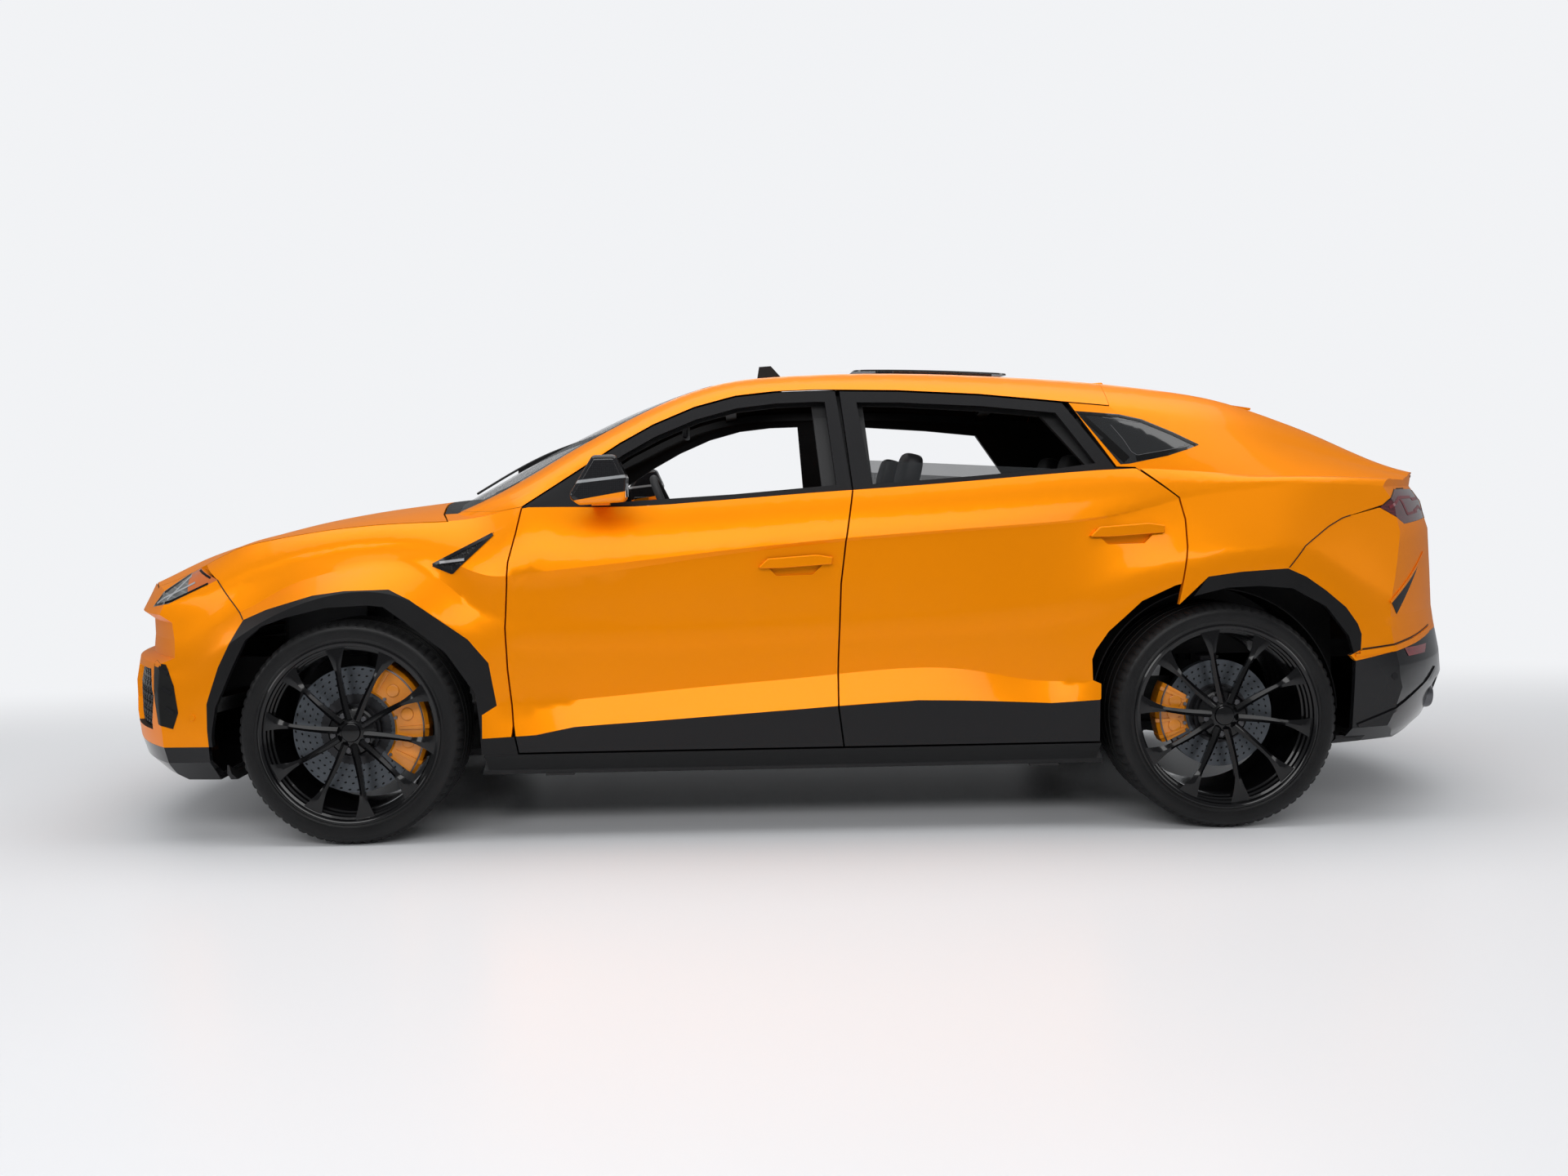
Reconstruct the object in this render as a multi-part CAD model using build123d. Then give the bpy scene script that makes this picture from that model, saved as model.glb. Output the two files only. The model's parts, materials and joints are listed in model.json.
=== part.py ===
"""A five-door sport utility vehicle, built as separate body panels, doors, wheels and cabin pieces.

Frame: millimetres, +Z up, +X towards the tail, +Y towards the car's right side. The origin is on the
ground, in the middle of the car's length. Two lofted skins, the lower body and the greenhouse above it,
give every outer panel its surface; each panel is the shell between such a skin and the same skin set in.
"""
from build123d import *
from math import cos, radians, sin, sqrt
import os

# ---------------------------------------------------------------- driving dimensions
LENGTH = 5112
WHEELBASE = 3003
FRONT_OVERHANG = 1003
PANEL_GAP = 6
SKIN = 25                       # bumpers, fenders and roof
DOOR_THICKNESS = 75
FRAME_THICKNESS = 38            # door window frames and body side pillars
PILLAR_THICKNESS = 30           # inner pillars behind the doors
GLASS = 6

FRONT_TYRE_RADIUS = 386
REAR_TYRE_RADIUS = 384
FRONT_TYRE_WIDTH = 285
REAR_TYRE_WIDTH = 325
FRONT_WHEEL_FACE_Y = 976        # outer sidewall from the centre plane
REAR_WHEEL_FACE_Y = 986
FRONT_DISC_RADIUS = 220
REAR_DISC_RADIUS = 185
KINGPIN_Y = 745

NOSE_X = -LENGTH / 2
TAIL_X = LENGTH / 2
FRONT_AXLE_X = NOSE_X + FRONT_OVERHANG
REAR_AXLE_X = FRONT_AXLE_X + WHEELBASE


# ---------------------------------------------------------------- curves through stations
def follow(table, x):
    """Value at x of the smooth curve through (x, value) pairs, without overshoot between them."""
    if x <= table[0][0]:
        return table[0][1]
    if x >= table[-1][0]:
        return table[-1][1]
    slopes = [(b[1] - a[1]) / (b[0] - a[0]) for a, b in zip(table, table[1:])]
    tangents = [slopes[0]]
    for a, b in zip(slopes, slopes[1:]):
        tangents.append(0 if a * b <= 0 else 2 * a * b / (a + b))
    tangents.append(slopes[-1])
    for i, (a, b) in enumerate(zip(table, table[1:])):
        if x <= b[0]:
            h = b[0] - a[0]
            t = (x - a[0]) / h
            return (
                a[1] * (1 + 2 * t) * (1 - t) ** 2
                + b[1] * t * t * (3 - 2 * t)
                + h * t * (1 - t) * ((1 - t) * tangents[i] - t * tangents[i + 1])
            )


class FeatureLine:
    """A line along the body: (x, half width, height) at the stations where its course changes."""

    def __init__(self, *stations):
        self.width = [(x, w) for x, w, z in stations]
        self.height = [(x, z) for x, w, z in stations]

    def at(self, x, inward=0.0, down=0.0):
        return follow(self.width, x) - inward, follow(self.height, x) - down


# Lower body, from the sill up to the belt line and the bonnet.
UNDERSIDE = FeatureLine((-2620, 800, 225), (-2000, 840, 212), (-1000, 850, 212), (0, 855, 212),
                        (1000, 850, 212), (1900, 840, 262), (2620, 760, 330))
SKIRT = FeatureLine((-2620, 905, 300), (-2100, 935, 290), (-1100, 948, 292), (0, 955, 296),
                    (1000, 958, 300), (1900, 950, 330), (2620, 850, 380))
SILL = FeatureLine((-2620, 905, 420), (-2200, 945, 410), (-1980, 965, 400), (-1100, 968, 358),
                   (-913, 966, 366), (-780, 966, 392), (-509, 967, 407), (122, 969, 445), (400, 970, 460),
                   (607, 971, 454), (857, 972, 441), (1024, 975, 451), (1900, 980, 500), (2200, 930, 512),
                   (2620, 850, 520))
LOW_CREASE = FeatureLine((-2620, 900, 560), (-2200, 938, 545), (-2040, 962, 520), (-1850, 985, 480),
                         (-1553, 990, 450), (-1200, 972, 440), (-1048, 945, 462), (-786, 934, 480),
                         (-228, 931, 524), (124, 931, 548), (440, 932, 570), (620, 932, 550), (858, 938, 512),
                         (998, 965, 513), (1200, 990, 530), (1450, 998, 560), (1850, 995, 595),
                         (2050, 962, 610), (2300, 905, 625), (2620, 830, 640))
ARCH_EDGE = FeatureLine((-2620, 890, 620), (-2200, 925, 610), (-2050, 946, 640), (-1949, 968, 710),
                        (-1752, 988, 815), (-1553, 993, 868), (-1400, 992, 866), (-1300, 985, 815),
                        (-1150, 965, 720), (-950, 945, 650), (-500, 941, 640), (0, 943, 660), (600, 945, 680),
                        (900, 955, 705), (1050, 982, 750), (1278, 1002, 840), (1450, 1008, 878),
                        (1640, 1008, 888), (1723, 1006, 858), (1860, 996, 770), (2050, 955, 705),
                        (2300, 888, 690), (2620, 810, 680))
FLARE = FeatureLine((-2620, 880, 700), (-2200, 912, 720), (-1949, 908, 800), (-1752, 898, 900),
                    (-1553, 895, 950), (-1400, 900, 962), (-1280, 912, 930), (-1150, 932, 830),
                    (-950, 948, 752), (-500, 948, 740), (0, 950, 752), (600, 953, 775), (900, 965, 808),
                    (1111, 986, 882), (1362, 1000, 942), (1550, 1004, 968), (1700, 1001, 966),
                    (1860, 985, 890), (2050, 945, 800), (2300, 878, 765), (2620, 800, 750))
STEP_FOOT = FeatureLine((-2620, 860, 770), (-2200, 892, 830), (-1949, 878, 890), (-1752, 872, 950),
                        (-1553, 872, 985), (-1380, 884, 990), (-1250, 908, 960), (-1150, 930, 905),
                        (-1050, 945, 880), (-778, 952, 906), (-498, 955, 940), (-218, 957, 975),
                        (161, 958, 1009), (620, 958, 1038), (998, 952, 1062), (1184, 940, 1094),
                        (1325, 925, 1124), (1500, 914, 1150), (1802, 904, 1172), (2026, 880, 1160),
                        (2300, 815, 1140), (2620, 700, 1110))
STEP_HEAD = FeatureLine((-2620, 850, 790), (-2200, 882, 850), (-1949, 866, 915), (-1752, 858, 975),
                        (-1553, 858, 1010), (-1380, 870, 1014), (-1250, 898, 985), (-1150, 934, 942),
                        (-1050, 951, 914), (-778, 963, 936), (-498, 967, 962), (-218, 967, 990),
                        (161, 966, 1020), (620, 964, 1047), (998, 955, 1070), (1184, 940, 1102),
                        (1325, 923, 1132), (1500, 911, 1158), (1802, 900, 1180), (2026, 876, 1168),
                        (2300, 810, 1148), (2620, 695, 1118))
BELT = FeatureLine((-2620, 700, 830), (-2300, 745, 888), (-2112, 768, 962), (-2067, 773, 988),
                   (-1965, 783, 1030), (-1847, 790, 1054), (-1672, 797, 1080), (-1468, 803, 1098),
                   (-1206, 815, 1106), (-1100, 838, 1120), (-1000, 868, 1140), (-937, 882, 1148),
                   (-612, 893, 1143), (-215, 898, 1162), (68, 900, 1179), (351, 900, 1193),
                   (635, 898, 1210), (918, 893, 1229), (1173, 884, 1240), (1400, 872, 1226),
                   (1600, 866, 1208), (1800, 856, 1200), (2026, 832, 1190), (2300, 770, 1170),
                   (2620, 660, 1140))
CROWN = FeatureLine((-2620, 470, 760), (-2500, 475, 800), (-2400, 478, 878), (-2300, 480, 938),
                    (-2200, 482, 985), (-2000, 485, 1045), (-1800, 490, 1090), (-1600, 495, 1122),
                    (-1400, 500, 1145), (-1250, 505, 1158), (-1100, 510, 1140), (-900, 515, 1090),
                    (1300, 520, 1090), (1700, 520, 1140), (2200, 510, 1175), (2620, 480, 1150))
LOWER_LINES = (UNDERSIDE, SKIRT, SILL, LOW_CREASE, ARCH_EDGE, FLARE, STEP_FOOT, STEP_HEAD, BELT, CROWN)
LOWER_BULGE = (0, 0, 0, 2, 3, 0, 0, 10, 6)          # outward crown of the skin between two lines
BONNET_RISE = 26                                     # centre of the bonnet over its crease lines
LOWER_STATIONS = (-2620, -2480, -2340, -2200, -2080, -1980, -1880, -1780, -1680, -1553, -1430, -1330,
                  -1240, -1150, -1060, -960, -820, -600, -300, 0, 300, 600, 800, 950, 1060, 1180, 1320,
                  1450, 1580, 1690, 1800, 1910, 2040, 2200, 2400, 2620)

# Greenhouse, from inside the doors up to the roof.
GLASS_FOOT = FeatureLine((-1480, 800, 900), (-1200, 850, 900), (-937, 905, 900), (0, 935, 900),
                         (600, 935, 900), (1200, 925, 900), (1600, 905, 900), (2000, 860, 900),
                         (2480, 740, 900))
GLASS_BELT = FeatureLine((-1480, 730, 1000), (-1200, 790, 1080), (-1050, 830, 1120), (-937, 868, 1150),
                         (-600, 884, 1150), (0, 892, 1160), (600, 892, 1175), (1173, 878, 1190),
                         (1450, 862, 1190), (1700, 838, 1180), (2000, 785, 1170), (2250, 720, 1160),
                         (2480, 650, 1120))
CANT_RAIL = FeatureLine((-1480, 690, 1025), (-1200, 745, 1110), (-1050, 795, 1165), (-937, 818, 1210),
                        (-798, 815, 1280), (-621, 795, 1372), (-503, 775, 1433), (-356, 752, 1492),
                        (-209, 738, 1530), (-63, 733, 1544), (83, 732, 1547), (375, 737, 1538),
                        (666, 745, 1518), (958, 752, 1490), (1161, 752, 1464), (1400, 740, 1420),
                        (1600, 718, 1375), (1800, 690, 1318), (2000, 660, 1262), (2250, 630, 1195),
                        (2480, 600, 1130))
ROOF_EDGE = FeatureLine((-1480, 640, 1032), (-1200, 690, 1140), (-1122, 702, 1172), (-1000, 712, 1232),
                        (-817, 700, 1338), (-695, 688, 1405), (-512, 660, 1498), (-360, 636, 1560),
                        (-209, 620, 1596), (-58, 613, 1609), (244, 610, 1615), (545, 610, 1606),
                        (846, 612, 1586), (1146, 612, 1558), (1447, 602, 1514), (1597, 592, 1482),
                        (1722, 582, 1440), (1936, 562, 1358), (2118, 548, 1275), (2240, 538, 1226),
                        (2480, 520, 1140))
TOP_CENTRE = [(-1480, 1062), (-1330, 1150), (-1200, 1222), (-1000, 1335), (-817, 1425), (-600, 1520),
              (-400, 1585), (-250, 1615), (-100, 1629), (200, 1638), (500, 1632), (850, 1612),
              (1150, 1583), (1450, 1538), (1600, 1508), (1722, 1468), (1936, 1384), (2118, 1298),
              (2240, 1248), (2480, 1152)]
UPPER_STATIONS = (-1480, -1330, -1200, -1080, -960, -820, -660, -500, -350, -200, -50, 200, 500, 800,
                  1100, 1350, 1550, 1720, 1900, 2080, 2240, 2480)

# Plan shape of the two ends and how far each height reaches.
NOSE_PLAN = ((0, 0), (0, 420), (150, 800), (430, 1020))
TAIL_PLAN = ((0, 0), (0, 350), (230, 780), (560, 1010))
NOSE_REACH = [(150, 190), (212, 150), (240, 95), (290, 35), (350, 14), (430, 2), (540, 0), (632, 16),
              (652, 66), (715, 72), (772, 70), (800, 30), (860, 62), (1000, 130), (1750, 140)]
TAIL_REACH = [(150, 190), (290, 110), (320, 75), (380, 40), (468, 4), (545, 8), (650, 26), (712, 34),
              (845, 36), (1000, 40), (1060, 58), (1100, 66), (1160, 108), (1206, 100), (1215, 90),
              (1750, 90)]
BEYOND_SIDES = 1200

COWL_HALF_WIDTH = 700
SPLITTER_TOP_Z = 345
GRILLE_THICKNESS = 12
ROOF_REAR_X = 1540
ROOF_SEAM_X = 1130              # roof panel to rear quarter, under the rear pillar's paint
ROOF_STRIP_HALF = 588
WINDSCREEN_TOP_X = -275
WINDSCREEN_SIDE = 16
SUNROOF_X = (-20, 335)
SUNROOF_PANEL_X = (250, 838)
SUNROOF_HALF = 400
SUNROOF_LIFT = 16
DEFLECTOR_HEIGHT = 50
DIFFUSER_FRONT_X = 1965
DIFFUSER_LINE = [(1892, 566), (2240, 632), (2640, 632)]
EXHAUST_Y = 580
EXHAUST_Z = 405
EXHAUST_RADIUS = 56
SILL_OUTER_Y = 872.6
SILL_INNER_Y = 775
SILL_TOP_Z = 392
TRAY_TOP_Z = 292
FLOOR_Z = 237                   # top of the floor pressing
TUNNEL_TOP_Z = 400
SUBFRAME_TOP_Z = 318
BULKHEAD_X = (-1075, -1045)
BULKHEAD_HALF = 828
BULKHEAD_FOOT_HALF = 800
MIDDLE_PILLAR_HEAD_Z = 1450
FRONT_HOUSE_RADIUS = 466        # clears the steered tyre
FRONT_HOUSE_Y = 462
REAR_HOUSE_RADIUS = 428
REAR_HOUSE_Y = 628
BOOT_FLOOR_Z = 600
SPOILER_X = (1552, 1712)
SPOILER_HALF = 548
SPOILER_RISE = 24
JACKING_PAD_Z = 205
REST_GAP = 0.6                  # between a closed lid and its rest buffers
BODY_SIDE_Y = 650               # the body side's roof rail reaches in to here
TOW_EYE = (-2460, 542, 545)     # mouth of the towing eye's socket
TOW_EYE_RADIUS = 8
TOW_EYE_DEPTH = 60


def mirrored(shape):
    return mirror(shape, about=Plane.XZ)


def both_sides(shape):
    return [shape, mirrored(shape)]


def edge_between(x, a, b, bulge):
    """A section edge from a to b, both (y, z), crowned outwards by bulge."""
    (ya, za), (yb, zb) = a, b
    run = sqrt((yb - ya) ** 2 + (zb - za) ** 2)
    out_y, out_z = (zb - za) / run, -(yb - ya) / run
    middle = ((ya + yb) / 2 + 2 * bulge * out_y, (za + zb) / 2 + 2 * bulge * out_z)
    return Edge.make_bezier((x, ya, za), (x, middle[0], middle[1]), (x, yb, zb))


def closed_section(x, right, bulges, rise):
    """A whole section from the right half's points, listed upwards, and the rise of the centre."""
    left = [(-y, z) for y, z in reversed(right)]
    top_y, top_z = right[-1]
    edges = [edge_between(x, a, b, k) for a, b, k in zip(right, right[1:], bulges)]
    edges.append(Edge.make_bezier((x, top_y, top_z), (x, 0, top_z + 2 * rise), (x, -top_y, top_z)))
    edges += [edge_between(x, a, b, k) for a, b, k in zip(left, left[1:], reversed(bulges))]
    edges.append(Edge.make_line((x, left[-1][0], left[-1][1]), (x, right[0][0], right[0][1])))
    return Wire(edges)


def lower_section(x, inset):
    right = []
    for line in LOWER_LINES:
        top = line in (BELT, CROWN)
        drop = inset if top else (-inset if line is UNDERSIDE else 0)
        right.append(line.at(x, inward=0 if line is CROWN else inset, down=drop))
    return closed_section(x, right, LOWER_BULGE, BONNET_RISE)


def upper_section(x, inset):
    right = [
        GLASS_FOOT.at(x, inward=inset),
        GLASS_BELT.at(x, inward=1.05 * inset),
        CANT_RAIL.at(x, inward=0.95 * inset, down=0.45 * inset),
        ROOF_EDGE.at(x, inward=0.45 * inset, down=0.95 * inset),
    ]
    rise = follow(TOP_CENTRE, x) - inset - right[-1][1]
    return closed_section(x, right, (0, 4, 9), rise)


def lower_skin(inset=0):
    return Solid.make_loft([lower_section(x, inset) for x in LOWER_STATIONS])


def upper_skin(inset=0):
    return Solid.make_loft([upper_section(x, inset) for x in UPPER_STATIONS])


def end_outline(z, inset):
    """Plan outline at one height: the nose curve, the tail curve and straight sides beyond the doors."""
    nose = NOSE_X + follow_straight(NOSE_REACH, z) + inset
    tail = TAIL_X - follow_straight(TAIL_REACH, z) - inset
    front = [(nose + dx, y, z) for dx, y in NOSE_PLAN]
    rear = [(tail - dx, y, z) for dx, y in TAIL_PLAN]
    side_front, side_rear = (nose + 620, BEYOND_SIDES, z), (tail - 760, BEYOND_SIDES, z)
    flip = lambda p: (p[0], -p[1], p[2])
    return Wire([
        Edge.make_bezier(*rear),
        Edge.make_line(rear[-1], side_rear),
        Edge.make_line(side_rear, side_front),
        Edge.make_line(side_front, front[-1]),
        Edge.make_bezier(*reversed(front)),
        Edge.make_bezier(*[flip(p) for p in front]),
        Edge.make_line(flip(front[-1]), flip(side_front)),
        Edge.make_line(flip(side_front), flip(side_rear)),
        Edge.make_line(flip(side_rear), flip(rear[-1])),
        Edge.make_bezier(*[flip(p) for p in reversed(rear)]),
    ])


def follow_straight(table, x):
    for a, b in zip(table, table[1:]):
        if x <= b[0]:
            return a[1] + (b[1] - a[1]) * (max(x, a[0]) - a[0]) / (b[0] - a[0])
    return table[-1][1]


def end_caps(inset=0):
    heights = sorted({z for z, _ in NOSE_REACH} | {z for z, _ in TAIL_REACH})
    return Solid.make_loft([end_outline(z, inset) for z in heights], ruled=True)



# ---------------------------------------------------------------- shut lines and outlines, (x, z) upwards
FRONT_SHUT = [(-975, 290), (-992, 400), (-1010, 590), (-1016, 736), (-1003, 960), (-979, 1057), (-961, 1149)]
MIDDLE_SHUT = [(144, 290), (126, 442), (130, 600), (144, 865), (164, 1014), (195, 1187)]
MIDDLE_TOP_X = 158                                    # where the shut line between the doors meets the roof
REAR_SHUT = [(1287, 772), (1306, 860), (1327, 967), (1333, 1060), (1322, 1136)]
REAR_DOOR_TAIL = [(1322, 1136), (1187, 1243), (1122, 1246)]
DIVIDER_TOP = (976, 1482)
WINDOW_LINE = [(-961, 1149), (-798, 1253), (-621, 1366), (-503, 1431), (-356, 1492), (-209, 1530), (-63, 1544),
               (83, 1547), (375, 1538), (666, 1518), (958, 1485), (1161, 1464), (1249, 1444), (1364, 1392),
               (1451, 1344), (1482, 1317)]
SILL_LINE = [(-1100, 358), (-913, 366), (-780, 392), (-509, 407), (122, 445), (400, 460), (607, 454),
             (857, 441), (1060, 451)]
FRONT_ARCH_EDGE = [(-2043, 495), (-2001, 620), (-1920, 780), (-1836, 814), (-1668, 861), (-1556, 875),
                   (-1406, 877), (-1334, 840), (-1142, 699), (-1074, 615), (-1050, 467), (-1100, 437)]
FRONT_ARCH_LIP = [(-2030, 380), (-2012, 483), (-1944, 630), (-1901, 713), (-1844, 759), (-1759, 788),
                  (-1619, 819), (-1479, 825), (-1423, 818), (-1341, 757), (-1217, 657), (-1122, 515),
                  (-1104, 380)]
REAR_ARCH_EDGE = [(1024, 451), (1027, 503), (1000, 515), (998, 587), (1010, 620), (1053, 683), (1166, 786),
                  (1278, 837), (1390, 865), (1501, 879), (1613, 885), (1660, 887), (1723, 858), (1791, 809),
                  (1860, 750), (1900, 693), (1913, 657), (1909, 604), (1873, 586)]
REAR_ARCH_LIP = [(1040, 380), (1060, 470), (1082, 540), (1150, 690), (1300, 790), (1451, 826), (1563, 830),
                 (1674, 820), (1790, 755), (1868, 652), (1885, 590), (1880, 480)]
DOOR_FOOT_Z = 305
SKIRT_TOP_Z = 298
BUMPER_SEAM = [(-2036, 916), (-1982, 850), (-1920, 780)]
HEADLAMP = [(-2290, 822), (-2226, 885), (-2141, 962), (-2036, 916), (-2197, 838)]
FENDER_VENT = [(-1272, 956), (-1056, 1064), (-1199, 922)]
TAIL_LAMP = [(2029, 1087), (2120, 1149), (2620, 1149), (2620, 1062), (2132, 1027)]
QUARTER_SEAM = [(1664, 892), (1724, 962), (1824, 1026), (1881, 1054), (2040, 1096)]
ARCH_SPLIT_X = 1300                                   # where the door leaves the rear arch to the body
SEAM = 0.4                                            # between fixed panels that butt
LOW, HIGH = 150, 1800


# ---------------------------------------------------------------- prisms that cut the panels out
def shifted(points, dx=0.0, dz=0.0):
    return [(x + dx, z + dz) for x, z in points]


def grown(points, extra, centre=None):
    """The outline's points moved away from a centre by extra, or towards it if extra is negative."""
    cx, cz = centre or (sum(x for x, z in points) / len(points), sum(z for x, z in points) / len(points))
    moved = []
    for x, z in points:
        reach = sqrt((x - cx) ** 2 + (z - cz) ** 2)
        moved.append((x + (x - cx) * extra / reach, z + (z - cz) * extra / reach))
    return moved


def side_prism(outline, y_from, y_to):
    """Solid across the car between two planes, its outline given as (x, z) points."""
    wire = Wire.make_polygon([(x, y_from, z) for x, z in outline], close=True)
    return Solid.extrude(Face(wire), Vector(0, y_to - y_from, 0))


def left_prism(outline):
    return side_prism(outline, -1150, -300)


def plan_prism(outline, z_from, z_to):
    wire = Wire.make_polygon([(x, y, z_from) for x, y in outline], close=True)
    return Solid.extrude(Face(wire), Vector(0, 0, z_to - z_from))


def block(x0, x1, y0, y1, z0, z1):
    return Pos((x0 + x1) / 2, (y0 + y1) / 2, (z0 + z1) / 2) * Box(abs(x1 - x0), abs(y1 - y0), abs(z1 - z0))


def cross_cylinder(x, z, radius, y0, y1):
    """A cylinder along Y."""
    return Pos(x, (y0 + y1) / 2, z) * Rot(90, 0, 0) * Cylinder(radius, abs(y1 - y0))


def belt_line(x_from, x_to, step=120):
    count = max(2, int((x_to - x_from) / step) + 1)
    xs = [x_from + (x_to - x_from) * i / (count - 1) for i in range(count)]
    return [(x, follow(BELT.height, x)) for x in xs]


def between(points, x_from, x_to):
    """The part of an outline between two x values, with interpolated ends."""
    inner = [(x, z) for x, z in points if x_from < x < x_to]
    return [(x_from, follow_straight(points, x_from))] + inner + [(x_to, follow_straight(points, x_to))]


def bonnet_outline(gap):
    """Plan outline of the bonnet, (x, y), inset all round by gap."""
    xs = [-2290, -2200, -2112, -2020, -1900, -1750, -1600, -1450, -1330, -1235 - gap]
    side = [(x, follow(BELT.width, x) - gap) for x in xs]
    nose = [(-2452 + gap, 0), (-2446 + gap, 260), (-2405 + gap, 500)]
    cowl = [(-1270 - gap, 700), (-1318 - gap, 400), (-1345 - gap, 150), (-1350 - gap, 0)]
    half = nose + side + cowl
    return half + [(x, -y) for x, y in reversed(half) if y > 0]


def boot_outline(gap):
    """Plan outline of the tailgate, (x, y), inset all round by gap."""
    half = [(1540 + gap, 0), (1540 + gap, 588 - gap), (1722, 578 - gap), (2240, 548 - gap), (2640, 548 - gap),
            (2640, 0)]
    return half + [(x, -y) for x, y in reversed(half) if y > 0]


TAILGATE_FOOT_Z = 790


def shut_x(points, z):
    """Where a shut line, listed upwards, stands at one height."""
    return follow_straight([(pz, px) for px, pz in points], z)


def upright(points, foot, dx=0.0):
    """A shut line moved along X and cut off at its foot."""
    line = [(shut_x(points, foot), foot)] + [(x, z) for x, z in points if z > foot]
    return shifted(line, dx=dx)


def front_door_outline(gap):
    front = upright(FRONT_SHUT, DOOR_FOOT_Z, dx=gap)
    rear = upright(MIDDLE_SHUT, DOOR_FOOT_Z, dx=-gap)
    top = shifted(between(WINDOW_LINE, -961, MIDDLE_TOP_X - 8), dz=-gap)[1:]
    return front + top + rear[::-1]


def rear_door_outline(gap):
    front = upright(MIDDLE_SHUT, DOOR_FOOT_Z, dx=gap)
    top = shifted(between(WINDOW_LINE, MIDDLE_TOP_X + 8, DIVIDER_TOP[0] - 16), dz=-gap)
    tail = shifted(list(reversed(REAR_DOOR_TAIL)), dx=-gap, dz=-gap / 2)
    rear = shifted(list(reversed(REAR_SHUT)), dx=-gap)
    arch = [(ARCH_SPLIT_X - gap, 700), (ARCH_SPLIT_X - gap, 452), (1024 - gap, 452),
            (1024 - gap, DOOR_FOOT_Z)]
    return front + top + tail + rear[1:] + arch


FRONT_WINDOW = [(-722, 1165), (-735, 1240), (-610, 1326), (-495, 1390), (-350, 1449), (-205, 1487), (-63, 1502),
                (83, 1505), (112, 1504), (140, 1204), (-215, 1179), (-612, 1160)]
REAR_WINDOW = [(225, 1500), (375, 1496), (666, 1477), (932, 1447), (1052, 1262), (918, 1246), (635, 1227),
               (262, 1204)]
QUARTER_WINDOW = [(1004, 1452), (1161, 1437), (1240, 1418), (1350, 1368), (1436, 1322), (1401, 1309),
                  (1315, 1284), (1173, 1258), (1140, 1256)]


# ---------------------------------------------------------------- volumes whose differences are the shells
def outer_volume(inset):
    """The whole body, set in from its surface, nose and tail included."""
    return (lower_skin(inset) + upper_skin(inset)) & end_caps(inset)


def cabin_volume(lower_inset, upper_inset):
    return lower_skin(lower_inset) + upper_skin(upper_inset)


def softened(shape, radius):
    return fillet(shape.edges(), radius)


def largest(shape):
    return max(shape.solids(), key=lambda solid: solid.volume)


def axle(front):
    """Axle position and tyre radius, as an (x, z) centre."""
    return (FRONT_AXLE_X, FRONT_TYRE_RADIUS) if front else (REAR_AXLE_X, REAR_TYRE_RADIUS)


def wheelhouse(front, radius, inner_y):
    x, z = axle(front)
    return cross_cylinder(x, z, radius, -1150, -inner_y)


def arch_opening(front):
    """The wheel opening in the body side, down to the ground."""
    lip = FRONT_ARCH_LIP if front else REAR_ARCH_LIP
    return left_prism(lip + [(lip[-1][0], LOW), (lip[0][0], LOW)])


# ---------------------------------------------------------------- outer panels fixed to the body
def fender_outline(gap):
    arch = grown(FRONT_ARCH_EDGE[2:], SEAM / 2, axle(True))
    seam = shifted(BUMPER_SEAM, dx=SEAM / 2)
    sill = [(x, z + SEAM / 2) for x, z in between(SILL_LINE, -1098, -996 - gap)]
    shut = [p for p in shifted(FRONT_SHUT, dx=-gap) if 380 < p[1] < 1140]
    top = [(-2160, 1110), (-1300, 1136), (-1050, 1136), (-961 - gap, 1150)]
    return seam[::-1] + [(-2118, 976)] + top + shut[::-1] + sill[::-1] + arch[:0:-1]


def front_fenders(shell, gap):
    fender = shell & left_prism(fender_outline(gap))
    fender = fender - plan_prism(bonnet_outline(-gap), 500, 1500) - left_prism(grown(HEADLAMP, SEAM))
    fender = fender - block(-1500, -900, -COWL_HALF_WIDTH - SEAM, 0, 900, 1300)
    return both_sides(largest(fender - left_prism(grown(FENDER_VENT, SEAM))))


def fender_vents(shell):
    return both_sides(largest(shell & left_prism(FENDER_VENT)))


def cowl_panel(shell, gap):
    """The dark strip between the bonnet and the windscreen."""
    cowl = shell & block(-1400, -1090, -COWL_HALF_WIDTH, COWL_HALF_WIDTH, 900, 1240)
    cowl = cowl - plan_prism(bonnet_outline(-gap), 500, 1500)
    return largest(cowl - upper_skin(-SEAM))


def bonnet(shell, gap):
    return largest(shell & plan_prism(bonnet_outline(gap), 600, 1400))


def front_bumper_outline():
    arch = grown(FRONT_ARCH_EDGE[:3], SEAM / 2, axle(True))
    seam = shifted(BUMPER_SEAM, dx=-SEAM / 2)
    foot = [(-2700, SPLITTER_TOP_Z + SEAM), (arch[0][0], SPLITTER_TOP_Z + SEAM)]
    return foot + arch[:-1] + seam[::-1] + [(-2118, 976), (-2160, 1200), (-2700, 1200)]


def across(outline):
    return side_prism(outline, -1150, 1150)


def front_openings():
    """Grille slot under the bonnet, the centre intake and the two side intakes."""
    slot = block(-2700, -2300, -640, 640, 655, 770)
    centre = front_view_prism([(-430, 395), (430, 395), (500, 470), (430, 600), (-430, 600), (-500, 470)])
    side = front_view_prism([(-880, 400), (-620, 400), (-560, 480), (-600, 610), (-860, 610), (-905, 520)])
    return [slot, centre, side, mirrored(side)]


def front_view_prism(points, x_from=-2700, x_to=-2150):
    wire = Wire.make_polygon([(x_from, y, z) for y, z in points], close=True)
    return Solid.extrude(Face(wire), Vector(x_to - x_from, 0, 0))


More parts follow.
